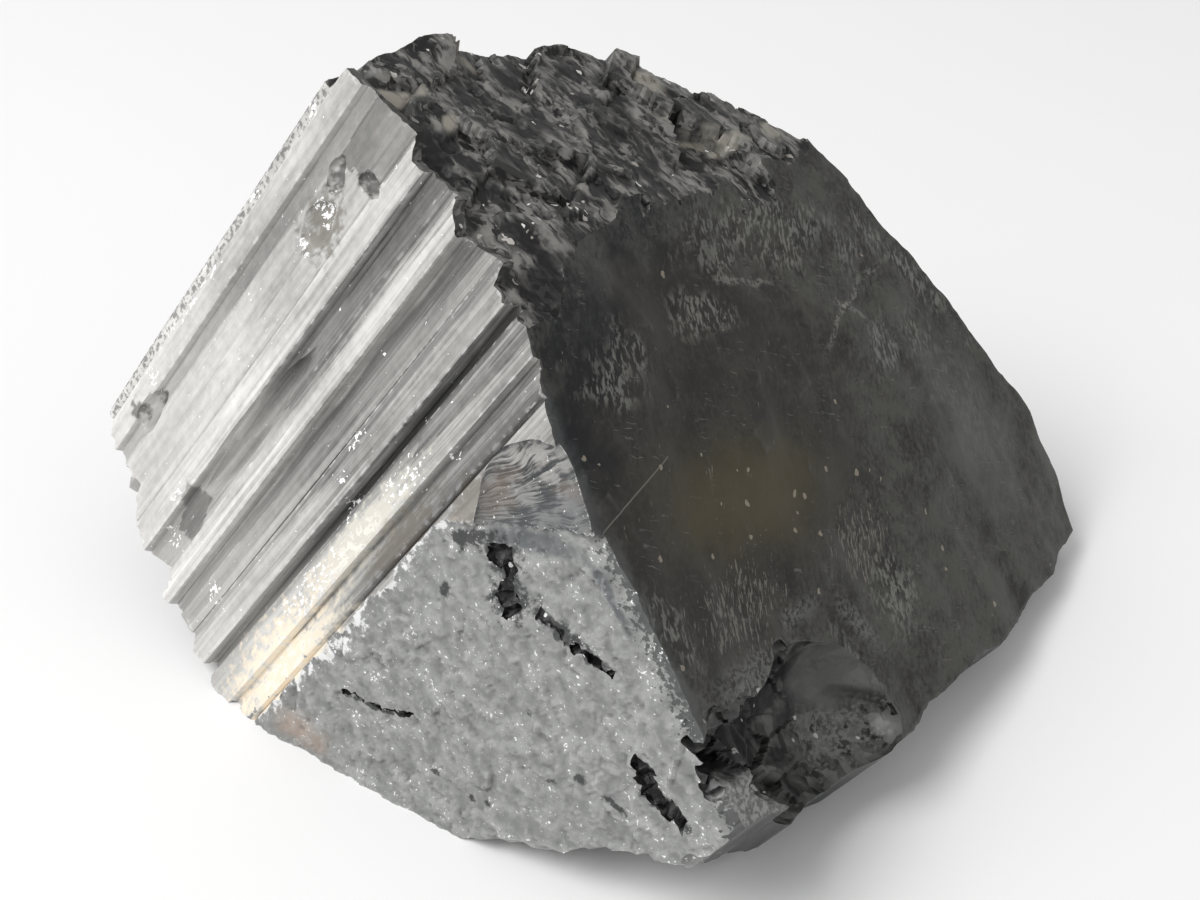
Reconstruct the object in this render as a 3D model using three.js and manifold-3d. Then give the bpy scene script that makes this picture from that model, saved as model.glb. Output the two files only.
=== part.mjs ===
import * as THREE from "three";
import { mergeVertices } from "three/addons/utils/BufferGeometryUtils.js";
import Module from "manifold-3d";

// Black tourmaline: a broken length of one striated prism, as it lies on a flat surface.
// Millimetres. +Z is up, +X runs to the right and +Y away from a viewer who has the striated
// face on the left and the large dark break on the right. The origin is on the surface that the
// stone rests on, under the middle of its box.
//
// Three kinds of frame are used. In the crystal frame z is the prism's long axis. In the stone
// frame the stone rests, so the long axis leans over. Each break has a frame of its own: x runs
// level across it, y up its slope and z out of the stone.

const wasm = await Module();
wasm.setup();

// Where the middle of the stone's box stands in the stone frame
const BOX_MIDDLE = new THREE.Vector2(-0.13, 1.34);

// Pose and length of the prism
const LEAN = THREE.MathUtils.degToRad(35);
const TURN = THREE.MathUtils.degToRad(-22.5);
const PRISM_FROM = -15;
const PRISM_TO = 29;
const PRISM_LAYERS = 9;

// Striated face, in the crystal frame: a point on its left edge and the way it runs
const FACE_START = new THREE.Vector2(-31.5, -0.15);
const FACE_ANGLE = THREE.MathUtils.degToRad(-31);

// Its ridges, from left to right: where each starts and ends across the face, how far it
// stands out, and how deep the groove after it is
const RIDGES = [
  { from: 0.6, to: 1.3, height: -0.1, groove: 0.35 },
  { from: 1.5, to: 3.0, height: 0.3, groove: 0.45 },
  { from: 3.8, to: 5.6, height: 0.0, groove: 0.15 },
  { from: 5.8, to: 7.2, height: 0.15, groove: 0.15 },
  { from: 7.4, to: 9.0, height: 0.45, groove: 0.5 },
  { from: 10.3, to: 11.1, height: -0.1, groove: 0.25 },
  { from: 11.3, to: 12.6, height: 0.5, groove: 0.75 },
  { from: 13.6, to: 15.0, height: 0.0, groove: 0.35 },
  { from: 15.2, to: 17.0, height: 0.45, groove: 0.95 },
  { from: 17.8, to: 19.8, height: 0.35, groove: 0.6 },
  { from: 20.4, to: 21.4, height: 0.05, groove: 0.45 },
  { from: 21.7, to: 23.6, height: 0.25, groove: -0.1 },
  { from: 23.8, to: 28.0, height: 0.15, groove: 0.0 },
];

// A ridge falls off a little on each side of its crest. A groove wider than this has a floor,
// which starts and ends this far from the ridges beside it and rises a little to the right.
const CREST_FALL = { left: 0.12, right: 0.05 };
const WIDE_GROOVE = 0.3;
const GROOVE_FLOOR = { from: 0.15, to: 0.1, rise: 0.2 };

// Saw teeth where the ridges end: distance across the face, height along the prism
const TOP_TEETH = [
  [27.9, 20.5], [24.0, 20.7], [20.7, 20.6], [19.7, 22.4], [18.0, 23.1], [16.1, 22.5],
  [15.6, 24.1], [12.6, 22.1], [11.5, 23.4], [8.1, 22.0], [7.2, 23.0], [4.0, 21.8], [1.6, 21.0],
];
const LEFT_EDGE = [[1.1, 18.5], [0.7, 15.5], [1.3, 12.0], [0.6, 6.0], [0.9, 1.0], [0.5, -3.0]];
const FOOT_TEETH = [
  [0.9, -8.4], [2.7, -10.4], [5.9, -9.6], [7.0, -11.2], [9.3, -11.7], [11.7, -9.7],
  [12.0, -11.8], [15.0, -10.8], [15.4, -10.0], [19.0, -9.1], [20.7, -9.7], [22.2, -8.9], [27.9, -8.9],
];
const TOOTH_DEPTH = 1.0;
const TOOTH_STAND = 2;

// Broken places on the striated face, as hollows: across, along, out, then half sizes
const FACE_HOLLOWS = [
  { at: [4.7, 16.9, 0.2], radii: [0.8, 1.0, 1.3], turn: 0.2 },
  { at: [6.8, 18.7, 0.1], radii: [0.9, 0.6, 1.1], turn: 0.4 },
  { at: [5.7, 14.0, 0.4], radii: [1.2, 2.0, 0.9], turn: 0 },
  { at: [9.9, 2.0, 0.5], radii: [0.9, 9.0, 1.3], turn: 0 },
  { at: [3.5, -5.6, 0.3], radii: [0.8, 2.2, 1.1], turn: 0 },
];
const PANEL = { corners: [[4.1, 17.4], [7.5, 18.7], [7.6, 23.5], [3.9, 23.0]], depth: 0.4 };
const WINDOW = { corners: [[8.5, -4.9], [9.75, -8.25], [11.5, -7.1], [10.4, -4.0]], depth: 0.7 };

// Corners of the prism's other sides, in the crystal frame, with the flutes that run down them
const FAR_CORNERS = [
  [6.2, -17.4], [9.0, -12.0], [11.2, -6.8], [13.0, -0.6], [15.1, 7.0], [16.6, 14.0], [17.3, 20.6],
  [14.3, 22.6], [10.3, 23.2], [1.0, 21.4], [-8.0, 19.4], [-16.5, 17.6], [-24.0, 13.0], [-28.9, 5.2],
];
const FLUTE = { width: 1.7, depth: 0.3, seed: 5 };

// The far sides also swell in and out about a line inside the prism. The swelling fades out
// between these two distances from the striated face.
const SWELL = { height: 0.45, centreX: -6, perRadian: 5, length: 5, seed: 11, full: 5, none: 12 };

// The breaks, in the stone frame: the way each faces and its distance from the frame's origin,
// then the middle, size and cell of the rough field that covers it
const DARK_BREAK = {
  azimuth: -26.9, elevation: 36.4, distance: 17.8, middle: [4, 7], size: [50, 52], cell: 1.6,
};
const TOP_BREAK = {
  azimuth: -6.5, elevation: 67, distance: 26.4, middle: [5, 12], size: [40, 44], cell: 1.05,
};
const GRAIN_BREAK = {
  azimuth: -126.8, elevation: 8.5, distance: 14.5, middle: [2, 9], size: [40, 34], cell: 1.1,
};
const FOOT_BREAK = {
  azimuth: 157.5, elevation: -55, distance: 10.1, middle: [0, 0], size: [60, 70], cell: 1.6,
};
const FRONT_UNDERCUT = {
  azimuth: -92, elevation: -50.5, distance: 8.1, middle: [0, 0], size: [60, 40], cell: 1.6,
};
const BLOCK_DEPTH = 40;

// Relief of the breaks, from coarse to fine: height, width and length of one bump or facet
const DARK_SWELLS = [
  { height: 0.45, width: 7, length: 9, seed: 21 },
  { height: 0.15, width: 2.5, length: 3, seed: 22 },
];
const TOP_FACETS = [
  { height: 0.7, width: 4.2, length: 4.2, seed: 31 },
  { height: 0.35, width: 1.9, length: 1.9, seed: 32 },
];
const GRAIN_SWELLS = [{ height: 0.2, width: 5, length: 5, seed: 41 }];
const GRAIN_FACETS = [{ height: 0.22, width: 1.6, length: 1.6, seed: 42 }];
const FOOT_FACETS = [
  { height: 0.9, width: 3, length: 3, seed: 51 },
  { height: 0.3, width: 1.5, length: 1.5, seed: 52 },
];
const UNDERCUT_FACETS = [{ height: 0.3, width: 3, length: 3, seed: 61 }];

// Behind the saw teeth the breaks on top dip below them. The dark break does so near its top.
const DIP_START = 0.5;
const TOP_DIP = { depth: 1.3, width: 4.0 };
const DARK_DIP = { depth: 0.7, width: 1.9, fromZ: 20, fullZ: 26 };

// On the top break: a ledge along its far rim, and a peak at the rim's left end
const RIM_LEDGE = { x: 12, wander: 0.9, wanderLength: 3, seed: 33, until: 13, height: 0.7 };
const RIM_PEAK = { x: 10, y: 21.5, radius: 4, height: 1.0 };

// Above this line on the grainy break a ledge of the prism's own face still stands
const FACE_LEDGE = { left: [1.1, 16.2], right: [9.0, 19.0], height: 1.25 };

// A scooped chip leaves that ledge thin where it meets the dark break
const CHIP = { at: [25.7, 18.4, 0.3], radii: [3.7, 5.4, 1.05], turn: -0.3, detail: 5 };

// The deep hollow at the lower edge of the dark break, in that break's frame: a scoop, a
// trench that runs on from it to the left, and a hole beside the grainy break
const SCOOPS = [
  { at: [-7.7, -2.7, 0.4], radii: [6.5, 4.3, 4.2], turn: -0.36, detail: 7, roughness: 0.2, seed: 4 },
  { at: [-12.9, 1.3, 0.2], radii: [3.6, 1.7, 1.9], turn: -0.36, detail: 4, roughness: 0.2, seed: 5 },
  { at: [-16.3, 0.7, 0.0], radii: [1.5, 1.2, 1.6], turn: 0.3, detail: 3, roughness: 0.2, seed: 6 },
];

// A chip off the stone's lowest front corner, in the grainy break's frame
const CORNER_CHIP = { at: [17.4, 2.6, 0.0], radii: [2.6, 2.4, 3.0], turn: 0.5, detail: 3 };

// Unevenness of the walls of all these hollows, over a hollow one unit in radius
const WALL_BUMPS = { perUnit: 2.3, shift: 9, lean: 1.7 };

// Cracks and pits of the grainy break, in its own frame
const CRACKS = [
  { points: [[2.4, 15.1], [3.2, 14.6], [4.0, 13.5], [4.7, 12.8]], radius: 0.55 },
  { points: [[5.2, 13.1], [6.4, 12.8], [7.6, 12.4], [8.9, 12.2], [10.1, 12.2]], radius: 0.32 },
  { points: [[-7.1, 2.5], [-5.6, 2.6], [-4.4, 2.4], [-2.9, 2.9]], radius: 0.22 },
  { points: [[12.5, 8.2], [13.1, 7.0], [14.1, 6.2], [15.3, 5.4]], radius: 0.75 },
];
const CRACK_SIDES = 6;
const CRACK_STEPS = 7;

// Points closer than this are one, and facets finer than this are merged with their neighbours
const WELD = 1e-4;
const SMALLEST_FACET = 0.02;
const GROUND_SIZE = 100;

// Constants of the repeatable noise
const HASH = { across: 127.1, along: 311.7, seed: 74.7, spread: 43758.5453 };

// A repeatable number from 0 to 1 for one whole-number cell
function cellValue(i, j, seed) {
  const wave = Math.sin(i * HASH.across + j * HASH.along + seed * HASH.seed) * HASH.spread;
  return wave - Math.floor(wave);
}

// Smooth bumps from -1 to 1, about one to each unit of x and y
function bumps(x, y, seed) {
  const i = Math.floor(x);
  const j = Math.floor(y);
  const easeX = THREE.MathUtils.smoothstep(x - i, 0, 1);
  const easeY = THREE.MathUtils.smoothstep(y - j, 0, 1);
  const near = THREE.MathUtils.lerp(cellValue(i, j, seed), cellValue(i + 1, j, seed), easeX);
  const far = THREE.MathUtils.lerp(cellValue(i, j + 1, seed), cellValue(i + 1, j + 1, seed), easeX);
  return 2 * THREE.MathUtils.lerp(near, far, easeY) - 1;
}

// Flat tilted facets from about -1 to 1, with a step from each to the next
function facets(x, y, seed) {
  let nearest = Infinity;
  let height = 0;
  for (let i = Math.floor(x) - 1; i <= Math.floor(x) + 1; i += 1) {
    for (let j = Math.floor(y) - 1; j <= Math.floor(y) + 1; j += 1) {
      const dx = x - i - cellValue(i, j, seed);
      const dy = y - j - cellValue(i, j, seed + 1);
      const distance = dx * dx + dy * dy;
      if (distance < nearest) {
        nearest = distance;
        const tiltX = cellValue(i, j, seed + 2) - 0.5;
        const tiltY = cellValue(i, j, seed + 3) - 0.5;
        height = cellValue(i, j, seed + 4) - 0.5 + tiltX * dx + tiltY * dy;
      }
    }
  }
  return 2 * height;
}

function layered(noise, layers, x, y) {
  const heights = layers.map((layer) => {
    return layer.height * noise(x / layer.width, y / layer.length, layer.seed);
  });
  return heights.reduce((sum, height) => sum + height, 0);
}

// Frames
const crystalToStone = new THREE.Matrix4().makeRotationFromEuler(
  new THREE.Euler(0, LEAN, TURN, "ZYX"),
);
const faceAcross = new THREE.Vector3(Math.cos(FACE_ANGLE), Math.sin(FACE_ANGLE), 0);
const faceUp = new THREE.Vector3(0, 0, 1);
const faceOut = new THREE.Vector3().crossVectors(faceAcross, faceUp);
const faceToStone = new THREE.Matrix4()
  .makeBasis(faceAcross, faceUp, faceOut)
  .setPosition(FACE_START.x, FACE_START.y, 0)
  .premultiply(crystalToStone);
const stoneFaceOut = faceOut.clone().transformDirection(crystalToStone);
const stoneFacePoint = new THREE.Vector3().setFromMatrixPosition(faceToStone);

function breakFrame({ azimuth, elevation, distance }) {
  const turn = THREE.MathUtils.degToRad(azimuth);
  const rise = THREE.MathUtils.degToRad(elevation);
  const out = new THREE.Vector3(
    Math.cos(rise) * Math.cos(turn),
    Math.cos(rise) * Math.sin(turn),
    Math.sin(rise),
  );
  const up = new THREE.Vector3(0, 0, 1).addScaledVector(out, -out.z).normalize();
  const across = new THREE.Vector3().crossVectors(up, out);
  const foot = out.clone().multiplyScalar(distance);
  return new THREE.Matrix4().makeBasis(across, up, out).setPosition(foot);
}

// Meshes to solids and back
function toSolid(geometry) {
  geometry.deleteAttribute("normal");
  geometry.deleteAttribute("uv");
  const merged = mergeVertices(geometry, WELD);
  return new wasm.Manifold(new wasm.Mesh({
    numProp: 3,
    vertProperties: new Float32Array(merged.attributes.position.array),
    triVerts: new Uint32Array(merged.index.array),
  }));
}

function toGeometry(solid) {
  const mesh = solid.getMesh();
  const geometry = new THREE.BufferGeometry();
  geometry.setAttribute("position", new THREE.BufferAttribute(mesh.vertProperties, 3));
  geometry.setIndex(new THREE.BufferAttribute(mesh.triVerts, 1));
  geometry.computeVertexNormals();
  return geometry;
}

function moveVertices(geometry, move) {
  const positions = geometry.attributes.position;
  const vertex = new THREE.Vector3();
  for (let i = 0; i < positions.count; i += 1) {
    vertex.fromBufferAttribute(positions, i);
    move(vertex);
    positions.setXYZ(i, vertex.x, vertex.y, vertex.z);
  }
  return geometry;
}

// The prism's outline: the ridges of the striated face, then the fluted far sides
function ridgePoints() {
  const points = [];
  const add = (across, out) => {
    const x = FACE_START.x + faceAcross.x * across + faceOut.x * out;
    const y = FACE_START.y + faceAcross.y * across + faceOut.y * out;
    points.push(new THREE.Vector2(x, y));
  };
  RIDGES.forEach((ridge, index) => {
    add(ridge.from, ridge.height - CREST_FALL.left);
    add((ridge.from + ridge.to) / 2, ridge.height);
    add(ridge.to, ridge.height - CREST_FALL.right);
    const next = RIDGES[index + 1];
    if (next && next.from - ridge.to > WIDE_GROOVE) {
      add(ridge.to + GROOVE_FLOOR.from, -ridge.groove);
      add(next.from - GROOVE_FLOOR.to, (GROOVE_FLOOR.rise - 1) * ridge.groove);
    } else if (next) {
      add((ridge.to + next.from) / 2, -ridge.groove);
    }
  });
  return points;
}

function farPoints(first, last) {
  const corners = [first, ...FAR_CORNERS.map(([x, y]) => new THREE.Vector2(x, y)), last];
  const points = [];
  for (let side = 0; side + 1 < corners.length; side += 1) {
    const run = corners[side + 1].clone().sub(corners[side]);
    const out = new THREE.Vector2(run.y, -run.x).normalize();
    const flutes = Math.max(1, Math.round(run.length() / FLUTE.width));
    for (let flute = 1; flute <= flutes; flute += 1) {
      const depth = FLUTE.depth * (2 * cellValue(side, flute, FLUTE.seed) - 1);
      const point = corners[side].clone().addScaledVector(run, flute / flutes);
      points.push(point.addScaledVector(out, depth));
    }
  }
  return points.slice(0, -1);
}

function prismSolid() {
  const ridges = ridgePoints();
  const outline = new THREE.Shape([...ridges, ...farPoints(ridges.at(-1), ridges[0])]);
  const geometry = new THREE.ExtrudeGeometry(outline, {
    depth: PRISM_TO - PRISM_FROM,
    steps: PRISM_LAYERS,
    bevelEnabled: false,
  });
  geometry.translate(0, 0, PRISM_FROM);
  moveVertices(geometry, (vertex) => {
    const farSide = 1 - THREE.MathUtils.smoothstep(vertex.dot(faceOut), SWELL.full, SWELL.none);
    const dx = vertex.x - SWELL.centreX;
    const angle = Math.atan2(vertex.y, dx);
    const wave = bumps(angle * SWELL.perRadian, vertex.z / SWELL.length, SWELL.seed);
    const stretch = (SWELL.height * farSide * wave) / Math.hypot(dx, vertex.y);
    vertex.x += stretch * dx;
    vertex.y += stretch * vertex.y;
  });
  return toSolid(geometry.applyMatrix4(crystalToStone));
}

// The striated face's own skin, whose ridge ends stand up as saw teeth over the breaks
function toothPlate() {
  return facePlate([...TOP_TEETH, ...LEFT_EDGE, ...FOOT_TEETH], -TOOTH_DEPTH, TOOTH_STAND);
}

// A flat plate along the striated face, between two distances out from it
function facePlate(corners, from, to) {
  const shape = new THREE.Shape(corners.map(([across, along]) => new THREE.Vector2(across, along)));
  const geometry = new THREE.ExtrudeGeometry(shape, { depth: to - from, bevelEnabled: false });
  return toSolid(geometry.translate(0, 0, from).applyMatrix4(faceToStone));
}

// A block that takes away all that lies past a break. Its near face has the break's relief.
function breakBlock(plane, relief) {
  const { middle, size, cell } = plane;
  const columns = Math.round(size[0] / cell);
  const rows = Math.round(size[1] / cell);
  const geometry = new THREE.BoxGeometry(size[0], size[1], BLOCK_DEPTH, columns, rows, 1);
  geometry.translate(middle[0], middle[1], BLOCK_DEPTH / 2);
  const frame = breakFrame(plane);
  const place = new THREE.Vector3();
  moveVertices(geometry, (vertex) => {
    if (vertex.z < BLOCK_DEPTH / 2) {
      place.set(vertex.x, vertex.y, 0).applyMatrix4(frame);
      vertex.z = relief(vertex.x, vertex.y, place);
    }
  });
  return toSolid(geometry.applyMatrix4(frame));
}

function dipBehindTeeth(place, { depth, width }) {
  const inside = stoneFacePoint.clone().sub(place).dot(stoneFaceOut);
  return depth * (1 - THREE.MathUtils.smoothstep(inside, DIP_START, width));
}

function darkRelief(x, y, place) {
  const nearTop = THREE.MathUtils.smoothstep(place.z, DARK_DIP.fromZ, DARK_DIP.fullZ);
  return layered(bumps, DARK_SWELLS, x, y) - nearTop * dipBehindTeeth(place, DARK_DIP);
}

function topRelief(x, y, place) {
  const blocks = layered(facets, TOP_FACETS, x, y);
  const wander = RIM_LEDGE.wander * bumps(y / RIM_LEDGE.wanderLength, 0, RIM_LEDGE.seed);
  const onLedge = y < RIM_LEDGE.until && x > RIM_LEDGE.x + wander;
  const fromPeak = Math.hypot(x - RIM_PEAK.x, y - RIM_PEAK.y) / RIM_PEAK.radius;
  const peak = RIM_PEAK.height * (1 - THREE.MathUtils.smoothstep(fromPeak, 0, 1));
  return blocks + (onLedge ? RIM_LEDGE.height : 0) + peak - dipBehindTeeth(place, TOP_DIP);
}

function grainRelief(x, y) {
  const { left, right, height } = FACE_LEDGE;
  const grains = layered(bumps, GRAIN_SWELLS, x, y) + layered(facets, GRAIN_FACETS, x, y);
  const line = left[1] + (right[1] - left[1]) * (x - left[0]) / (right[0] - left[0]);
  return y > line ? height : grains;
}

function footRelief(x, y) {
  return layered(facets, FOOT_FACETS, x, y);
}

function undercutRelief(x, y) {
  return layered(facets, UNDERCUT_FACETS, x, y);
}

// A rounded hollow with an uneven wall
function hollow(frame, { at, radii, turn, detail = 2, roughness = 0.15, seed = 1 }) {
  const geometry = new THREE.IcosahedronGeometry(1, detail);
  moveVertices(geometry, (vertex) => {
    const x = vertex.x * WALL_BUMPS.perUnit + WALL_BUMPS.shift;
    const y = vertex.y * WALL_BUMPS.perUnit + vertex.z * WALL_BUMPS.lean;
    vertex.multiplyScalar(1 + roughness * bumps(x, y, seed));
  });
  geometry.scale(...radii);
  geometry.rotateZ(turn);
  geometry.translate(...at);
  return toSolid(geometry.applyMatrix4(frame));
}

function crack(frame, { points, radius }) {
  const path = new THREE.CatmullRomCurve3(points.map(([x, y]) => new THREE.Vector3(x, y, 0)));
  const corners = [];
  for (let side = 0; side < CRACK_SIDES; side += 1) {
    const angle = (2 * Math.PI * side) / CRACK_SIDES;
    corners.push(new THREE.Vector2(radius * Math.cos(angle), radius * Math.sin(angle)));
  }
  const geometry = new THREE.ExtrudeGeometry(new THREE.Shape(corners), {
    steps: CRACK_STEPS,
    extrudePath: path,
  });
  return toSolid(geometry.applyMatrix4(frame));
}

// All that lies below the surface that the stone rests on
function groundBlock() {
  const geometry = new THREE.BoxGeometry(GROUND_SIZE, GROUND_SIZE, 2 * BLOCK_DEPTH);
  return toSolid(geometry.translate(0, 0, -BLOCK_DEPTH));
}

function stoneSolid() {
  const prism = prismSolid();
  const darkFrame = breakFrame(DARK_BREAK);
  const grainFrame = breakFrame(GRAIN_BREAK);
  const ends = prism
    .subtract(breakBlock(DARK_BREAK, darkRelief))
    .subtract(breakBlock(TOP_BREAK, topRelief))
    .subtract(breakBlock(FOOT_BREAK, footRelief))
    .add(prism.intersect(toothPlate()));
  const cuts = [
    breakBlock(GRAIN_BREAK, grainRelief),
    breakBlock(FRONT_UNDERCUT, undercutRelief),
    ...SCOOPS.map((place) => hollow(darkFrame, place)),
    hollow(faceToStone, CHIP),
    hollow(grainFrame, CORNER_CHIP),
    ...[PANEL, WINDOW].map(({ corners, depth }) => facePlate(corners, -depth, depth)),
    ...FACE_HOLLOWS.map((place) => hollow(faceToStone, place)),
    ...CRACKS.map((place) => crack(grainFrame, place)),
    groundBlock(),
  ];
  const pieces = cuts.reduce((solid, cut) => solid.subtract(cut), ends).decompose();
  const whole = pieces.reduce((best, piece) => (piece.volume() > best.volume() ? piece : best));
  return whole.simplify(SMALLEST_FACET);
}

const stone = new THREE.Mesh(
  toGeometry(stoneSolid()),
  new THREE.MeshStandardMaterial({ color: 0x3b3b3a, roughness: 0.55, metalness: 0 }),
);
stone.name = "tourmaline_crystal";
stone.position.set(-BOX_MIDDLE.x, -BOX_MIDDLE.y, 0);

const specimen = new THREE.Group();
specimen.add(stone);

export default specimen;
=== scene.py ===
# %% [markdown]
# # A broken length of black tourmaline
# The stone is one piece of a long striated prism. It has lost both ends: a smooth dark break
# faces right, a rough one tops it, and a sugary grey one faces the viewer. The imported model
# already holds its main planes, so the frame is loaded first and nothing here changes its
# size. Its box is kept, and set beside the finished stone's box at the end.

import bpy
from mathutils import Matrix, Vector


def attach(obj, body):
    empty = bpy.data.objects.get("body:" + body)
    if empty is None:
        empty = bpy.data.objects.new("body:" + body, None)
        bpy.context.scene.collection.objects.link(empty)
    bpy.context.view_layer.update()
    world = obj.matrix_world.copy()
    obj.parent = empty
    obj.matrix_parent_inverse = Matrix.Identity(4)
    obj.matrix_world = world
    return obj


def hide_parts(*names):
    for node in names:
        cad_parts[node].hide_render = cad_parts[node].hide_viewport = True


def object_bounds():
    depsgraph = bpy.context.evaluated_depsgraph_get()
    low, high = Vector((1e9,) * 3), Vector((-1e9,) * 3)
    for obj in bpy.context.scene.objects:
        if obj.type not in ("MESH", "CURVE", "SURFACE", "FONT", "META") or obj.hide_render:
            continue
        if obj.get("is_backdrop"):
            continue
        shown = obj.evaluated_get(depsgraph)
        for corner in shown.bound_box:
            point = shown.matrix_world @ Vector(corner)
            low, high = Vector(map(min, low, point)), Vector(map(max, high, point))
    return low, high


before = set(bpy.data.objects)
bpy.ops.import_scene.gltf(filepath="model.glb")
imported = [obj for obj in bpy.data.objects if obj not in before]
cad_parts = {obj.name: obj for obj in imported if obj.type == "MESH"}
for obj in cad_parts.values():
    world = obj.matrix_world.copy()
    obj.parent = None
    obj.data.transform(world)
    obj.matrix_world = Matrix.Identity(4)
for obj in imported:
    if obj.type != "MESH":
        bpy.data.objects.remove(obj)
CAD_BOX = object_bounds()
print("packed box, mm:", [[round(1000 * c, 2) for c in corner] for corner in CAD_BOX])

# %% [markdown]
# ## Camera
# The photograph looks down on the stone from about 35 degrees, from some 10 cm away. It is
# 1200 pixels wide, and the same pixels give the focal length, so the lens follows from the
# sensor's width. The view goes through the stone's own long frame, which has its origin
# under the stone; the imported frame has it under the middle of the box, so the two differ by
# a small shift.

# %% Camera
import math

import bpy
import numpy as np
from mathutils import Matrix, Vector, noise

MM = 0.001
BOX_MIDDLE = Vector((-0.13, 1.34, 0.0))
SENSOR_MM = 36.0
PHOTO_WIDTH = 1200
FOCAL_PIXELS = 1930
VIEW_DISTANCE = 100.0
VIEW_ELEVATION = math.radians(35)
VIEW_TARGET = Vector((0.0, 0.0, 15.0))


def link(name, data):
    """A new object of that name in the scene."""
    made = bpy.data.objects.new(name, data)
    bpy.context.scene.collection.objects.link(made)
    return made


def mesh_object(name, points, faces=(), edges=(), material=None):
    """An object in the scene from plain points and what joins them."""
    mesh = bpy.data.meshes.new(name)
    mesh.from_pydata([tuple(p) for p in points], edges, faces)
    if material:
        mesh.materials.append(material)
    return link(name, mesh)


back = Vector((0.0, -math.cos(VIEW_ELEVATION), math.sin(VIEW_ELEVATION)))
camera = link("camera", bpy.data.cameras.new("camera"))
camera.location = (VIEW_TARGET + back * VIEW_DISTANCE - BOX_MIDDLE) * MM
camera.rotation_euler = back.to_track_quat("Z", "Y").to_euler()
camera.data.sensor_width = SENSOR_MM
camera.data.lens = FOCAL_PIXELS / PHOTO_WIDTH * SENSOR_MM
camera.data.clip_start, camera.data.clip_end = 0.001, 10.0
bpy.context.scene.camera = camera
print("lens, mm:", round(camera.data.lens, 1))

# %% [markdown]
# ## Floor and light
# The stone stands on a plain white sheet under the soft light of a product table. One large
# lamp high on the left gives the striated face its shine, and a weak one on the right keeps
# the dark break from going flat. Soft light matters on black stone, because what it shows is
# mostly reflection: a small hard lamp would leave it black with a few bright dots.

# %% Floor, lamps and sky
FLOOR_HALF = 2.0
FLOOR_WHITE = (0.88, 0.88, 0.88, 1.0)
SKY_STRENGTH = 0.53


def plain_material(name, colour, roughness):
    """A material of one colour."""
    material = bpy.data.materials.new(name)
    material.use_nodes = True
    shader = material.node_tree.nodes["Principled BSDF"]
    shader.inputs["Base Color"].default_value = colour
    shader.inputs["Roughness"].default_value = roughness
    return material


def lamp(name, azimuth, elevation, distance, size, watts):
    """A soft square lamp that looks at the stone. Azimuth 0 is the viewer's side."""
    turn, rise = math.radians(azimuth), math.radians(elevation)
    away = Vector((math.sin(turn) * math.cos(rise), -math.cos(turn) * math.cos(rise), math.sin(rise)))
    made = link(name, bpy.data.lights.new(name, "AREA"))
    made.data.energy, made.data.size = watts, size
    made.location = away * distance + VIEW_TARGET * MM
    made.rotation_euler = away.to_track_quat("Z", "Y").to_euler()
    return made


floor_corners = [(FLOOR_HALF * x, FLOOR_HALF * y, 0) for x, y in ((-1, -1), (1, -1), (1, 1), (-1, 1))]
white_sheet = plain_material("white_sheet", FLOOR_WHITE, roughness=0.9)
mesh_object("floor", floor_corners, faces=[(0, 1, 2, 3)], material=white_sheet)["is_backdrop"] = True

world = bpy.data.worlds.new("sky")
world.use_nodes = True
sky = world.node_tree.nodes["Background"].inputs
sky["Color"].default_value = (1.0, 1.0, 1.0, 1.0)
sky["Strength"].default_value = SKY_STRENGTH
bpy.context.scene.world = world
bpy.context.scene.view_settings.view_transform = "Standard"
lamp("key", azimuth=-62, elevation=52, distance=0.5, size=0.3, watts=2.0)
lamp("fill", azimuth=70, elevation=35, distance=0.6, size=0.4, watts=0.24)

# %% [markdown]
# ## Frames of the crystal and of its breaks
# Everything is drawn in millimetres and scaled at the end. The prism is drawn upright in the
# crystal's own frame and then leans over as the stone does. Each break has a frame with x
# level across it, y up its slope and z out of the stone, so that its relief is a plain
# height over x and y.

# %% Frames
LEAN, TURN = math.radians(35), math.radians(-22.5)
FACE_START, FACE_ANGLE = Vector((-31.5, -0.15, 0.0)), math.radians(-31)


def basis(across, up, out, origin):
    """The matrix of a frame from its three directions and its origin."""
    turn = Matrix((across, up, out)).transposed().to_4x4()
    return Matrix.Translation(origin) @ turn


def break_frame(azimuth, elevation, distance):
    """The frame of a break that faces that way, at that distance from the origin."""
    turn, rise = math.radians(azimuth), math.radians(elevation)
    out = Vector((math.cos(rise) * math.cos(turn), math.cos(rise) * math.sin(turn), math.sin(rise)))
    up = (Vector((0, 0, 1)) - out * out.z).normalized()
    return basis(up.cross(out), up, out, out * distance)


crystal_to_stone = (Matrix.Rotation(TURN, 3, "Z") @ Matrix.Rotation(LEAN, 3, "Y")).to_4x4()
face_across = Vector((math.cos(FACE_ANGLE), math.sin(FACE_ANGLE), 0))
face_up = Vector((0, 0, 1))
face_out = face_across.cross(face_up)
FACE = crystal_to_stone @ basis(face_across, face_up, face_out, FACE_START)
DARK = break_frame(-26.9, 36.4, 17.8)
TOP = break_frame(-6.5, 67, 26.4)
GRAIN = break_frame(-126.8, 8.5, 14.5)
FOOT = break_frame(157.5, -55, 10.1)
UNDERCUT = break_frame(-92, -50.5, 8.1)
print("long axis in the stone frame:", [round(c, 3) for c in crystal_to_stone.col[2][:3]])

# %% [markdown]
# ## Repeatable roughness
# A broken crystal has two kinds of roughness: slow swells, and small flat facets that meet in
# steps. Both are made here from one hash of whole-number cells, so they never change from
# run to run. They work on whole arrays of points at once.

# %% Roughness helpers
HASH_X, HASH_Y, HASH_SEED, HASH_SPREAD = 127.1, 311.7, 74.7, 43758.5453


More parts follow.
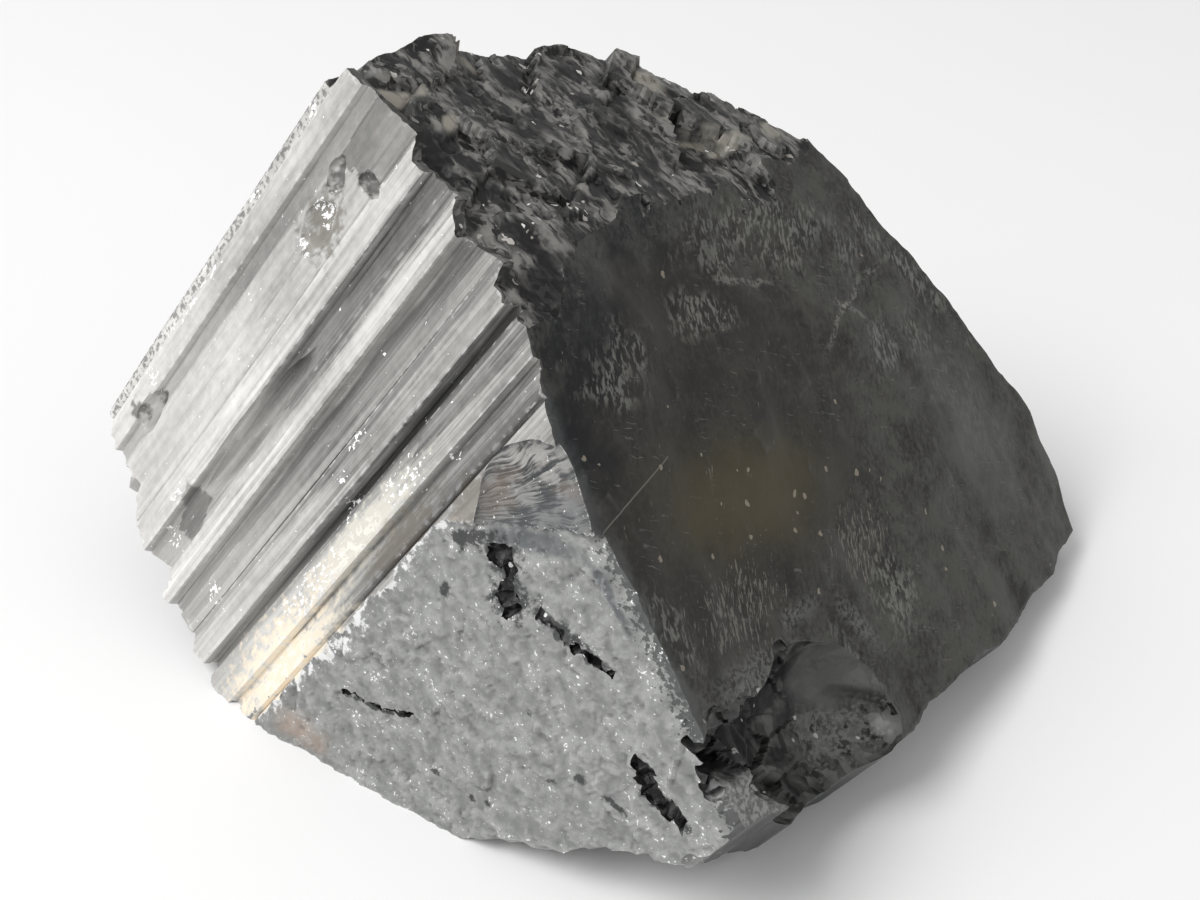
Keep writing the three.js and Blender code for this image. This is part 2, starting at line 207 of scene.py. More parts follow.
def cell_value(i, j, seed):
    """A repeatable number from 0 to 1 for each whole-number cell."""
    wave = np.sin(i * HASH_X + j * HASH_Y + seed * HASH_SEED) * HASH_SPREAD
    return wave - np.floor(wave)


def ease(x, low, high):
    """0 below low, 1 above high, and a smooth rise between."""
    t = np.clip((x - low) / (high - low), 0, 1)
    return t * t * (3 - 2 * t)


def bumps(x, y, seed):
    """Smooth bumps from -1 to 1, about one to each unit of x and y."""
    i, j = np.floor(x), np.floor(y)
    u, v = ease(x - i, 0, 1), ease(y - j, 0, 1)
    near = cell_value(i, j, seed) * (1 - u) + cell_value(i + 1, j, seed) * u
    far = cell_value(i, j + 1, seed) * (1 - u) + cell_value(i + 1, j + 1, seed) * u
    return 2 * (near * (1 - v) + far * v) - 1


def facets(x, y, seed):
    """Flat tilted facets from about -1 to 1, with a step from each to the next."""
    nearest = np.full(np.shape(x), np.inf)
    height = np.zeros(np.shape(x))
    for di in (-1, 0, 1):
        for dj in (-1, 0, 1):
            i, j = np.floor(x) + di, np.floor(y) + dj
            dx, dy = x - i - cell_value(i, j, seed), y - j - cell_value(i, j, seed + 1)
            distance = dx * dx + dy * dy
            tilt = (cell_value(i, j, seed + 2) - 0.5) * dx + (cell_value(i, j, seed + 3) - 0.5) * dy
            closer = distance < nearest
            nearest = np.where(closer, distance, nearest)
            height = np.where(closer, cell_value(i, j, seed + 4) - 0.5 + tilt, height)
    return 2 * height


def off_line(x, y, points):
    """How far each place is from a line through some points."""
    best = np.full(np.shape(x), np.inf)
    for (ax, ay), (bx, by) in zip(points, points[1:]):
        dx, dy = bx - ax, by - ay
        t = np.clip(((x - ax) * dx + (y - ay) * dy) / (dx * dx + dy * dy), 0, 1)
        best = np.minimum(best, np.hypot(x - ax - t * dx, y - ay - t * dy))
    return best


# %% [markdown]
# ## The striated prism
# Tourmaline grows as a long prism whose sides carry ribs and grooves along their whole
# length. That is a rule: one outline swept along a straight line. So the outline is drawn as
# a closed line of points, and a Geometry Nodes tree sweeps it, roughens it with a noise that
# is drawn out along the axis, and closes its ends. A lathe or an array could not follow an
# outline like this one.

# %% Outline of the prism
RIDGES = [  # start and end across the face, height, depth of the groove after it
    (0.6, 1.3, -0.1, 0.15), (1.5, 3.0, 0.14, 0.2), (3.8, 5.6, 0.0, 0.05), (5.8, 7.2, 0.07, 0.05),
    (7.4, 9.0, 0.22, 0.25), (10.3, 11.1, -0.05, 0.1), (11.3, 12.6, 0.27, 0.35),
    (13.6, 15.0, 0.05, 0.15), (15.2, 17.0, 0.28, 0.55), (17.8, 19.8, 0.2, 0.25),
    (20.4, 21.4, 0.06, 0.25), (21.7, 23.6, 0.15, -0.1), (23.8, 28.0, 0.12, 0.0),
]  # fmt: skip
RIB_SHOULDERS = (0.12, 0.05)
WIDE_GROOVE = 0.3
FAR_CORNERS = [
    (6.2, -17.4), (9.0, -12.0), (11.2, -6.8), (13.0, -0.6), (15.1, 7.0), (16.6, 14.0),
    (17.3, 20.6), (14.3, 22.6), (10.3, 23.2), (1.0, 21.4), (-8.0, 19.4), (-16.5, 17.6),
    (-24.0, 13.0), (-28.9, 5.2),
]  # fmt: skip
FLUTE_WIDTH, FLUTE_DEPTH = 1.7, 0.3
FACE_STEP, FAR_STEP = 0.13, 0.42


def ridge_points():
    """The corners of the striated face's ribs, as (across, out)."""
    points = []
    left, right = RIB_SHOULDERS
    for index, (start, end, height, groove) in enumerate(RIDGES):
        points += [(start, height - left), ((start + end) / 2, height), (end, height - right)]
        following = RIDGES[index + 1][0] if index + 1 < len(RIDGES) else None
        if following and following - end > WIDE_GROOVE:
            points += [(end + WIDE_GROOVE / 2, -groove), (following - WIDE_GROOVE / 3, -0.8 * groove)]
        elif following:
            points += [((end + following) / 2, -groove)]
    return points


def prism_outline():
    """The prism's outline in the crystal frame, with its points close together."""
    ribs = [FACE_START + face_across * across + face_out * out for across, out in ridge_points()]
    corners = [ribs[-1], *(Vector((x, y, 0)) for x, y in FAR_CORNERS), ribs[0]]
    far = []
    for side, (start, end) in enumerate(zip(corners, corners[1:])):
        run = end - start
        out = Vector((run.y, -run.x, 0)).normalized()
        flutes = max(1, round(run.length / FLUTE_WIDTH))
        for flute in range(1, flutes + 1):
            depth = FLUTE_DEPTH * (2 * float(cell_value(side, flute, 5)) - 1)
            far.append(start + run * flute / flutes + out * depth)
    outline = ribs + far[:-1]
    points = []
    for index, start in enumerate(outline):
        run = outline[(index + 1) % len(outline)] - start
        step = FACE_STEP if index + 1 < len(ribs) else FAR_STEP
        pieces = max(1, math.ceil(run.length / step))
        points += [start + run * piece / pieces for piece in range(pieces)]
    return points


outline = prism_outline()
print("outline points:", len(outline))

# %% [markdown]
# ## Node trees
# The shapes and the finishes are both trees of nodes. To keep them readable, a node's output
# is wrapped as a Value, so a sum of two values is written with a plus sign and becomes a Math
# node. The helpers here make a node, a tree with named inputs, and a plain mesh from what a
# Geometry Nodes tree has made of an object.

# %% Helpers for node trees
class Value:
    """An output of a node. Sums, differences, products and ratios of values become Math nodes."""

    def __init__(self, socket):
        self.socket, self.node, self.tree = socket, socket.node, socket.id_data

    def __getitem__(self, name):
        """Another output of the same node."""
        return Value(self.node.outputs[name])

    def __add__(self, other):
        return maths("ADD", self, other)

    def __sub__(self, other):
        return maths("SUBTRACT", self, other)

    def __mul__(self, other):
        return maths("MULTIPLY", self, other)

    def __truediv__(self, other):
        return maths("DIVIDE", self, other)

    __rmul__ = __mul__


def put(tree, kind, settings=None, **inputs):
    """Adds a node and gives its first output. A Value is linked to its input, the rest is set."""
    node = tree.nodes.new(kind)
    for name, value in (settings or {}).items():
        setattr(node, name, value)
    for name, value in inputs.items():
        place = int(name[1:]) if name[0] == "i" and name[1:].isdigit() else name.replace("_", " ")
        if isinstance(value, Value):
            tree.links.new(value.socket, node.inputs[place])
        else:
            node.inputs[place].default_value = value
    return Value(node.outputs[0])


def maths(operation, *values, kind="ShaderNodeMath", **more):
    """One Math node, in the tree of its first value. The others may be numbers."""
    inputs = {f"i{k}": value for k, value in enumerate(values)}
    return put(values[0].tree, kind, {"operation": operation}, **inputs, **more)


def vectors(operation, *values, **more):
    """One Vector Math node, in the tree of its first value."""
    return maths(operation, *values, kind="ShaderNodeVectorMath", **more)


def shake(place, scale, detail, amount, **seed):
    """A random push for each place, half of that amount either way. W is its seed."""
    size = {"Scale": scale, "Detail": detail, **seed}
    settings = {"noise_dimensions": "4D"} if seed else None
    pushes = put(place.tree, "ShaderNodeTexNoise", settings, Vector=place, **size)["Color"]
    return vectors("SCALE", vectors("SUBTRACT", pushes, (0.5, 0.5, 0.5)), Scale=amount)


def new_tree(name, inputs, draw, family="Geometry"):
    """A node tree with these inputs. Draw makes its nodes and gives its outputs by name."""
    tree = bpy.data.node_groups.new(name, family + "NodeTree")
    for label, kind in inputs.items():
        tree.interface.new_socket(label, in_out="INPUT", socket_type="NodeSocket" + kind)
    results = draw(tree, Value(tree.nodes.new("NodeGroupInput").outputs[0]))
    kind = "NodeSocketGeometry" if family == "Geometry" else "NodeSocketFloat"
    for label in results:
        tree.interface.new_socket(label, in_out="OUTPUT", socket_type=kind)
    outlet = tree.nodes.new("NodeGroupOutput")
    for label, value in results.items():
        tree.links.new(value.socket, outlet.inputs[label])
    return tree


def real_geometry(geometry, material):
    """Every Geometry Nodes tree ends in real geometry that wears its material."""
    real = put(geometry.tree, "GeometryNodeRealizeInstances", Geometry=geometry)
    return {"Geometry": put(geometry.tree, "GeometryNodeSetMaterial", Geometry=real, Material=material)}


def settle(obj):
    """Keeps what an object's modifiers make of it, and takes the modifiers off."""
    bpy.context.view_layer.update()
    made = bpy.data.meshes.new_from_object(obj.evaluated_get(bpy.context.evaluated_depsgraph_get()))
    obj.modifiers.clear()
    obj.data = made
    return obj


def grow(obj, tree, values):
    """Runs a tree on an object with these inputs and leaves a plain mesh."""
    modifier = obj.modifiers.new(tree.name, "NODES")
    modifier.node_group = tree
    sockets = {s.name: s.identifier for s in tree.interface.items_tree if s.in_out == "INPUT"}
    for name, value in values.items():
        modifier[sockets[name]] = value
    return settle(obj)


# %% [markdown]
# The prism's tree has named inputs for its ends, its layers and the size of the fine
# striations. Two patterns push the skin in and out along its normal. Cells that are drawn out
# along the prism set thin blades at slightly different levels, with a crisp step from each to
# the next, and a slow noise makes the ribs swell and fade along the stone.

# %% Sweep the outline with Geometry Nodes
PRISM_FROM, PRISM_TO = -15.0, 29.0


def drawn_out(place, width, length):
    """The place measured in cells of that width across and that length along the prism."""
    parts = {"X": place["X"] / width, "Y": place["Y"] / width, "Z": place["Z"] / length}
    return put(place.tree, "ShaderNodeCombineXYZ", **parts)


def draw_prism(tree, given):
    """Sweeps the outline along the axis and pushes its skin in and out."""
    ends = [put(tree, "ShaderNodeCombineXYZ", Z=given[name]) for name in ("From", "To")]
    axis = put(tree, "GeometryNodeCurvePrimitiveLine", Start=ends[0], End=ends[1])
    layered = put(tree, "GeometryNodeResampleCurve", Curve=axis, Count=given["Layers"])
    profile = put(tree, "GeometryNodeMeshToCurve", Mesh=given["Geometry"])
    sweep = put(tree, "GeometryNodeCurveToMesh", Curve=layered, Profile_Curve=profile, Fill_Caps=True)
    place = put(tree, "ShaderNodeSeparateXYZ", Vector=put(tree, "GeometryNodeInputPosition"))
    blade = put(
        tree, "ShaderNodeTexVoronoi", {"voronoi_dimensions": "4D"}, W=given["Seed"], Scale=1.0,
        Vector=drawn_out(place, given["Blade width"], given["Blade length"]),
    )["Color"]  # fmt: skip
    rib = put(
        tree, "ShaderNodeTexNoise", {"noise_dimensions": "4D"}, W=given["Seed"], Scale=1.0, Detail=1.0,
        Vector=drawn_out(place, given["Rib width"], given["Rib length"]),
    )  # fmt: skip
    blade_level = put(tree, "ShaderNodeSeparateXYZ", Vector=blade)
    push = (blade_level - 0.5) * given["Blade depth"] + (rib - 0.5) * given["Rib depth"]
    level = vectors("MULTIPLY", put(tree, "GeometryNodeInputNormal"), (1, 1, 0))
    offset = vectors("SCALE", level, Scale=push)
    moved = put(tree, "GeometryNodeSetPosition", Geometry=sweep, Offset=offset)
    return real_geometry(moved, given["Material"])


PRISM_INPUTS = {
    "Geometry": "Geometry", "From": "Float", "To": "Float", "Layers": "Int",
    "Blade width": "Float", "Blade length": "Float", "Blade depth": "Float",
    "Rib width": "Float", "Rib length": "Float", "Rib depth": "Float",
    "Seed": "Float", "Material": "Material",
}  # fmt: skip
ZONES = ["striated", "dark", "top", "grain", "foot", "hollow", "chip", "pit"]
finish = {zone: bpy.data.materials.new("tourmaline_" + zone) for zone in ZONES}
outline_edges = [(i, (i + 1) % len(outline)) for i in range(len(outline))]
prism = grow(
    mesh_object("prism", outline, edges=outline_edges),
    new_tree("striated_prism", PRISM_INPUTS, draw_prism),
    {
        "From": PRISM_FROM, "To": PRISM_TO, "Layers": 100,
        "Blade width": 0.5, "Blade length": 60.0, "Blade depth": 0.09,
        "Rib width": 1.8, "Rib length": 26.0, "Rib depth": 0.3,
        "Seed": 3.0, "Material": finish["striated"],
    },
)  # fmt: skip
prism.data.transform(crystal_to_stone)
print("prism faces:", len(prism.data.polygons))

# %% [markdown]
# ## Breaks
# Each break is a block with one rough side that takes away all that lies past it. The rough
# side is a fine grid, and its height comes from the roughness helpers. Every block carries
# the finish of its own break, so the cut faces inherit it and the borders between finishes
# are exactly the broken edges.

# %% Block with one rough side
BLOCK_DEPTH = 40.0


def break_block(name, frame_of_break, middle, size, cell, relief):
    """A closed block past a break, with the break's relief on its near side."""
    columns, rows = round(size[0] / cell), round(size[1] / cell)
    xs = np.linspace(-size[0] / 2, size[0] / 2, columns + 1) + middle[0]
    ys = np.linspace(-size[1] / 2, size[1] / 2, rows + 1) + middle[1]
    x, y = (grid.ravel() for grid in np.meshgrid(xs, ys))
    flat = np.column_stack([x, y, np.zeros_like(x), np.ones_like(x)])
    place = flat @ np.array(frame_of_break).T
    near = np.column_stack([x, y, relief(x, y, place[:, :3])])
    wide = columns + 1
    index = np.arange((rows + 1) * wide).reshape(rows + 1, wide)
    quads = np.stack([index[:-1, :-1], index[1:, :-1], index[1:, 1:], index[:-1, 1:]], -1).reshape(-1, 4)
    rim = [*index[0, :], *index[1:, -1], *index[-1, -2::-1], *index[-2:0:-1, 0]]
    first = len(near)
    far = np.column_stack([near[rim][:, :2], np.full(len(rim), BLOCK_DEPTH)])
    walls = [
        (rim[k], rim[(k + 1) % len(rim)], first + (k + 1) % len(rim), first + k) for k in range(len(rim))
    ]
    lid = tuple(range(first, first + len(rim)))
    faces = [*quads.tolist(), *walls, lid]
    block = mesh_object(name, np.vstack([near, far]), faces, material=finish_of(name))
    block.data.transform(frame_of_break)
    return block


def finish_of(name):
    """The finish that a cutter's name starts with."""
    return finish[name.split("_")[0]]


# %% [markdown]
# The dark break is nearly smooth, with low swells and a few shell-shaped steps. The top is a
# heap of facets with a ledge along its far rim. The grey break is sugary: small facets of one
# size. Where the breaks on top meet the striated face, they dip behind its saw teeth.

# %% Relief of each break
TOP_DIP, DARK_DIP = (1.2, 4.0), (0.12, 1.2)
DARK_DIP_RISE = (20, 26)
SHARD_LEAN = 0.7
RIM_LEDGE = {"x": 12.0, "wander": 0.9, "until": 13.0, "height": 0.7}
RIM_PEAK = {"x": 10.0, "y": 21.5, "radius": 4.0, "height": 1.0}
LEDGE_LEFT, LEDGE_RIGHT, LEDGE_HEIGHT = (1.1, 16.2), (9.0, 19.0), 1.25
SHELL_STEPS = [
    [(4.96, 17.0), (6.6, 14.3), (9.7, 12.6), (11.7, 10.9)],
    [(18.9, 8.3), (16.0, 8.5), (12.25, 8.6), (9.5, 8.3)],
    [(14.2, 16.5), (15.6, 13.6), (18.6, 12.2)],
]
SHELL_HEIGHT, SHELL_WIDTH = 0.1, 0.7
face_point, face_normal = np.array(FACE.translation), np.array(FACE.col[2][:3])


def layers(x, y, *table):
    """The sum of some patterns, each with its height, width, length and seed."""
    return sum(high * pattern(x / wide, y / long, seed) for pattern, high, wide, long, seed in table)


def dip_behind_teeth(place, dip):
    """How far a break lies lower just behind the striated face."""
    depth, width = dip
    inside = (face_point - place) @ face_normal
    return depth * (1 - ease(inside, 0.5, width))


def dark_relief(x, y, place):
    swells = layers(x, y, (bumps, 0.45, 7, 9, 21), (bumps, 0.15, 2.5, 3, 22))
    fine = layers(x, y, (bumps, 0.02, 0.7, 0.9, 23), (facets, 0.03, 2.2, 1.7, 24))
    shells = sum(np.exp(-((off_line(x, y, line) / SHELL_WIDTH) ** 2)) for line in SHELL_STEPS)
    dip = dip_behind_teeth(place, DARK_DIP) * ease(place[:, 2], *DARK_DIP_RISE)
    return swells + fine + SHELL_HEIGHT * shells - dip


def top_relief(x, y, place):
    across = x * math.cos(SHARD_LEAN) - y * math.sin(SHARD_LEAN)
    along = x * math.sin(SHARD_LEAN) + y * math.cos(SHARD_LEAN)
    inside = (face_point - place) @ face_normal
    blocks = layers(x, y, (facets, 0.6, 4.2, 4.2, 31)) + layers(across, along, (facets, 0.2, 1.7, 2.8, 32))
    blocks *= 0.4 + 0.6 * ease(inside, 0.5, 3.5)  # they get lower towards the face
    chips = layers(across, along, (facets, 0.07, 1.0, 1.7, 34), (facets, 0.035, 0.45, 0.6, 35))
    edge = RIM_LEDGE["x"] + RIM_LEDGE["wander"] * bumps(y / 3, 0 * y, 33)
    ledge = RIM_LEDGE["height"] * ((y < RIM_LEDGE["until"]) & (x > edge))
    from_peak = np.hypot(x - RIM_PEAK["x"], y - RIM_PEAK["y"]) / RIM_PEAK["radius"]
    peak = RIM_PEAK["height"] * (1 - ease(from_peak, 0, 1))
    return blocks + chips + ledge + peak - dip_behind_teeth(place, TOP_DIP)


def grain_relief(x, y, place):
    (left_x, left_y), (right_x, right_y) = LEDGE_LEFT, LEDGE_RIGHT
    line = left_y + (right_y - left_y) * (x - left_x) / (right_x - left_x)
    coarse = layers(x, y, (bumps, 0.2, 5, 5, 41), (facets, 0.09, 1.6, 1.6, 42))
    sugar = layers(x, y, (facets, 0.05, 0.6, 0.55, 43), (facets, 0.035, 0.3, 0.3, 44))
    return np.where(y > line, LEDGE_HEIGHT, coarse + sugar)


def foot_relief(x, y, place):
    return layers(x, y, (facets, 0.9, 3, 3, 51), (facets, 0.3, 1.5, 1.5, 52), (facets, 0.15, 0.8, 0.8, 53))


def undercut_relief(x, y, place):
    return layers(x, y, (facets, 0.3, 3, 3, 61), (facets, 0.15, 1.1, 1.1, 62))


BLOCKS = {  # frame, middle, width and height, size of the grid's squares, relief
    "dark_block": (DARK, (4, 7), (50, 52), 0.28, dark_relief),
    "top_block": (TOP, (5, 12), (40, 44), 0.2, top_relief),
    "grain_block": (GRAIN, (2, 9), (40, 34), 0.2, grain_relief),
    "foot_block": (FOOT, (0, 0), (60, 70), 0.5, foot_relief),
    "grain_undercut": (UNDERCUT, (0, 0), (60, 40), 0.4, undercut_relief),
}
blocks = {name: break_block(name, *given) for name, given in BLOCKS.items()}

# %% [markdown]
# ## Saw teeth
# The ribs of the striated face end at different heights, so from the side its top edge looks
# like a saw. A thin plate of the face's own outline is cut out of the whole prism and joined
# back on, so the teeth stand up past the breaks. Smaller teeth are set between the main ones,
# one to every few striations. The plate wears the finish of the top, since its edges are
# broken ends.

# %% Plate with saw teeth
TOP_TEETH = [
    (27.9, 20.5), (24.0, 20.7), (20.7, 20.6), (19.7, 22.4), (18.0, 23.1), (16.1, 22.5),
    (15.6, 24.1), (12.6, 22.1), (11.5, 23.4), (8.1, 22.0), (7.2, 23.0), (4.0, 21.8), (1.6, 21.0),
]  # fmt: skip
LEFT_EDGE = [(1.1, 18.5), (0.7, 15.5), (1.3, 12.0), (0.6, 6.0), (0.9, 1.0), (0.5, -3.0)]
FOOT_TEETH = [
    (0.9, -8.4), (2.7, -10.4), (5.9, -9.6), (7.0, -11.2), (9.3, -11.7), (11.7, -9.7),
    (12.0, -11.8), (15.0, -10.8), (15.4, -10.0), (19.0, -9.1), (20.7, -9.7), (22.2, -8.9),
    (27.9, -8.9),
]  # fmt: skip
EDGES = [(TOP_TEETH, 0.2, 71), (LEFT_EDGE, 0.5, 72), (FOOT_TEETH, 0.3, 73)]  # small teeth's height, seed
TOOTH_DEPTH, TOOTH_STAND = 0.4, 2.0
SMALL_TOOTH_WIDTH = 0.4


def with_small_teeth(points, height, seed):
    """The same line with small steps between its corners."""
    made = []
    for index, (start, end) in enumerate(zip(points, points[1:])):
        pieces = max(1, round(math.dist(start, end) / SMALL_TOOTH_WIDTH))
        for piece in range(pieces):
            share = piece / pieces
            step = height * (float(cell_value(index, piece, seed)) - 0.5) * (piece > 0)
            made.append([start[k] + (end[k] - start[k]) * share + step for k in (0, 1)])
    return [*made, points[-1]]


def flat_plate(name, points, low, high):
    """A closed plate of that outline, from low to high along z."""
    count = len(points)
    places = [(x, y, z) for z in (low, high) for x, y in points]
    walls = [(k, (k + 1) % count, count + (k + 1) % count, count + k) for k in range(count)]
    faces = [tuple(range(count))[::-1], tuple(range(count, 2 * count)), *walls]
    return mesh_object(name, places, faces, material=finish_of(name))


plate_outline = [point for edge in EDGES for point in with_small_teeth(*edge)]
teeth_plate = flat_plate("top_teeth", plate_outline, -TOOTH_DEPTH, TOOTH_STAND)
teeth_plate.data.transform(FACE)

# %% [markdown]
# ## Hollows, recesses and cracks
# The stone has lost smaller pieces too: a deep scoop under the dark break, a thin shell off
# the ledge of the face, and pits on the striated face. A ball with an uneven wall cuts each
# of them. The scoop's wall is chipped, but for a smooth shell on its right. The cracks follow
# a path, so a second Geometry Nodes tree sweeps a small round along each one and roughens it.

# %% Round hollows and recesses
import bmesh

FACE_HOLLOWS = [  # name, place on the striated face, half sizes, turn
    ("striated_pit", (4.7, 16.9, 0.3), (0.8, 1.1, 1.1), 0.2),
    ("striated_slit", (6.8, 18.7, 0.2), (0.9, 0.6, 0.9), 0.4),
    ("striated_scar", (5.7, 14.0, 0.4), (1.2, 2.0, 0.9), 0.0),
    ("striated_trough", (9.9, 2.0, 0.5), (0.9, 9.0, 1.3), 0.0),
    ("striated_dent", (3.5, -5.6, 0.3), (0.8, 2.2, 1.1), 0.0),
]  # fmt: skip


WALL_SWELLS, CHIP_SIZE, SHELL_BORDER = 2.3, 0.42, (-0.05, 0.3)


def chipped(place, size):
    """Flat tilted chips of that size over a wall, from about -1 to 1."""
    scaled = place / size
    middle = noise.voronoi(scaled)[1][0]
    return (scaled - middle).dot(noise.cell_vector(middle * 9.0)) + noise.cell(middle * 5.0) - 0.5


def hollow(name, frame_of_hollow, at, radii, turn, detail=5, roughness=0.15, seed=1, chips=0.0, shell=None):
    """A ball with an uneven wall, to be cut away. Its wall stays smooth on the shell's side."""
    ball = bmesh.new()
    bmesh.ops.create_icosphere(ball, subdivisions=detail, radius=1.0)
    for vertex in ball.verts:
        x, y, z = vertex.co
        wall = float(bumps(np.array(x * WALL_SWELLS + 9), np.array(y * WALL_SWELLS + z * 1.7), seed))
        rough = chips * (1.0 - float(ease(vertex.co.dot(shell), *SHELL_BORDER)) if shell else 1.0)
        vertex.co *= 1 + roughness * wall + (rough * chipped(vertex.co, CHIP_SIZE) if rough else 0.0)
    mesh = bpy.data.meshes.new(name)
    ball.to_mesh(mesh)
    ball.free()
    mesh.materials.append(finish_of(name))
    stretch = Matrix.Diagonal((*radii, 1.0))
    mesh.transform(frame_of_hollow @ Matrix.Translation(at) @ Matrix.Rotation(turn, 4, "Z") @ stretch)
    return link(name, mesh)


def recess(name, corners, depth):
    """A recess with straight sides, sunk into the striated face."""
    plate = flat_plate(name, corners[::-1], -depth, depth)
    plate.data.transform(FACE)
    return plate


shell_side = Vector((0.9, 0.15, 0.2)).normalized()
hollows = [  # name, frame, place, half sizes, turn, fineness, unevenness, seed, chips, smooth side
    hollow("hollow_scoop", DARK, (-7.7, -2.7, 0.4), (6.5, 4.3, 4.2), -0.36, 6, 0.13, 4, 0.09, shell_side),
    hollow("hollow_trench", DARK, (-12.9, 1.3, 0.2), (3.6, 1.7, 1.9), -0.36, 5, 0.2, 5, 0.12),
    hollow("hollow_hole", DARK, (-16.3, 0.7, 0.0), (1.5, 1.2, 1.6), 0.3, 4, 0.2, 6, 0.15),
    hollow("chip_fibrous", FACE, (25.7, 18.4, 0.3), (3.7, 5.4, 1.05), -0.3, 6),
    hollow("grain_corner", GRAIN, (17.4, 2.6, 0.0), (2.6, 2.4, 3.0), 0.5, 5, 0.15, 1, 0.06),
    *(hollow(name, FACE, *place) for name, *place in FACE_HOLLOWS),
    recess("striated_panel", [(4.1, 17.4), (7.5, 18.7), (7.6, 23.5), (3.9, 23.0)], 0.4),
    recess("striated_window", [(8.5, -4.9), (9.75, -8.25), (11.5, -7.1), (10.4, -4.0)], 0.7),
]
print("hollows:", len(hollows))

# %% Cracks with Geometry Nodes
CRACKS = [  # points on the grey break, radius
    ([(2.9, 15.9), (3.5, 15.1), (3.9, 14.2), (3.6, 13.2), (4.5, 12.5)], 0.55),
    ([(5.6, 13.1), (6.8, 12.8), (8.0, 12.3), (9.2, 12.2), (10.2, 11.9)], 0.28),
    ([(-6.4, 3.1), (-4.6, 3.2), (-3.0, 3.3), (-1.4, 3.8)], 0.12),
    ([(12.5, 8.2), (12.6, 7.0), (13.7, 6.3), (15.0, 5.7)], 0.55),
]


CRACK_INPUTS = {
    "Geometry": "Geometry", "Radius": "Float", "Step": "Float", "Jag": "Float", "Grain": "Float",
    "Swell": "Float", "Seed": "Float", "Material": "Material",
}  # fmt: skip


def draw_crack(tree, given):
    """Bends a path, sweeps a round of changing size along it and roughens the wall."""
    path = put(tree, "GeometryNodeMeshToCurve", Mesh=given["Geometry"])
    fine = put(tree, "GeometryNodeResampleCurve", {"mode": "LENGTH"}, Curve=path, Length=given["Step"])
    place = put(tree, "GeometryNodeInputPosition")
    jag = shake(place, 1.0, 3.0, given["Jag"], W=given["Seed"])
    bent = put(tree, "GeometryNodeSetPosition", Geometry=fine, Offset=jag)
    swell = put(
        tree, "ShaderNodeTexNoise", {"noise_dimensions": "4D"},
        Vector=place, W=given["Seed"], Scale=1.3, Detail=1.0,
    )  # fmt: skip
    tube = put(
        tree, "GeometryNodeCurveToMesh", Curve=bent, Scale=(swell - 0.5) * given["Swell"] + 1.0,
        Profile_Curve=put(tree, "GeometryNodeCurvePrimitiveCircle", Resolution=12, Radius=given["Radius"]),
        Fill_Caps=True,
    )  # fmt: skip
    grain = shake(place, 2.5, 2.0, given["Grain"], W=given["Seed"])
    torn = put(tree, "GeometryNodeSetPosition", Geometry=tube, Offset=grain)
    return real_geometry(torn, given["Material"])


crack_nodes = new_tree("crack", CRACK_INPUTS, draw_crack)
cracks = []
for index, (path, radius) in enumerate(CRACKS):
    steps = [(k, k + 1) for k in range(len(path) - 1)]
    line = mesh_object(f"pit_crack{index}", [(x, y, 0.0) for x, y in path], edges=steps)
    crack = grow(line, crack_nodes, {
        "Radius": radius, "Step": 0.15, "Jag": 1.0, "Grain": 0.9, "Swell": 3.0, "Seed": 5.0 + index,
        "Material": finish["pit"],
    })  # fmt: skip
    crack.data.transform(GRAIN)
    cracks.append(crack)
print("crack faces:", [len(c.data.polygons) for c in cracks])

# %% [markdown]
# ## Cut the stone
# The joins and cuts run as Boolean modifiers in the order in which the stone was broken: the
# ends first, then the teeth go back on, then the faces and hollows that cut through the
# teeth as well. The last cut is the level base on which it rests.

# %% Join and cut
def cut(obj, tools, operation="DIFFERENCE"):
    """Applies each tool to obj in turn and removes the tools."""
    for tool in tools:
        step = obj.modifiers.new(tool.name, "BOOLEAN")
        step.object, step.operation = tool, operation
        step.solver, step.material_mode = "MANIFOLD", "TRANSFER"
    settle(obj)
    for tool in tools:
        bpy.data.objects.remove(tool)
    return obj


def keep_largest(obj):
    """Drops crumbs that a cut has left loose."""
    shape = bmesh.new()
    shape.from_mesh(obj.data)
    left, groups = set(shape.verts), []
    while left:
        found, edge = set(), [left.pop()]
        while edge:
            vertex = edge.pop()
            found.add(vertex)
            near = [e.other_vert(vertex) for e in vertex.link_edges]
            edge += [v for v in near if v in left]
            left.difference_update(near)
        groups.append(found)
    largest = max(groups, key=len)
    bmesh.ops.delete(shape, geom=[v for v in shape.verts if v not in largest], context="VERTS")
    shape.to_mesh(obj.data)
    shape.free()
    return len(groups)


teeth = link("teeth", prism.data.copy())
cut(teeth, [teeth_plate], "INTERSECT")
stone = cut(prism, [blocks[name] for name in ("dark_block", "top_block", "foot_block")])
cut(stone, [teeth], "UNION")
ground = flat_plate("foot_ground", [(-50, -50), (50, -50), (50, 50), (-50, 50)], -BLOCK_DEPTH, 0.0)
cut(stone, [blocks["grain_block"], blocks["grain_undercut"], *hollows, *cracks, ground])
print("loose shells dropped:", keep_largest(stone) - 1, "faces:", len(stone.data.polygons))

# %% [markdown]
# ## Crests and hollows of the skin
# On the real stone every broken edge is crushed to a paler line, and shadow sits in the
# hollows. The finishes paint both: pale edges, partly painted highlight, and painted shade in
# the hollows. A material can't see where these are by itself, so each point of the mesh gets a
# number: how far it stands out from its close surroundings. It is found by smoothing a copy of
# the mesh and measuring how far the skin has moved.

# %% Store how far the skin stands out
SMOOTHING_ROUNDS = 3
SHARP_ANGLE = math.radians(32)


def numbers(items, name, kind=float, width=3):
    """One property of all vertices or edges as an array."""
    found = np.empty(len(items) * width, kind)
    items.foreach_get(name, found)
    return found.reshape(-1, width)


def store(name, values):
    """Keeps one number for each point of the stone, for the finishes to read."""
    data = stone.data.attributes.new(name, "FLOAT", "POINT").data
    data.foreach_set("value", values.astype(np.float32))


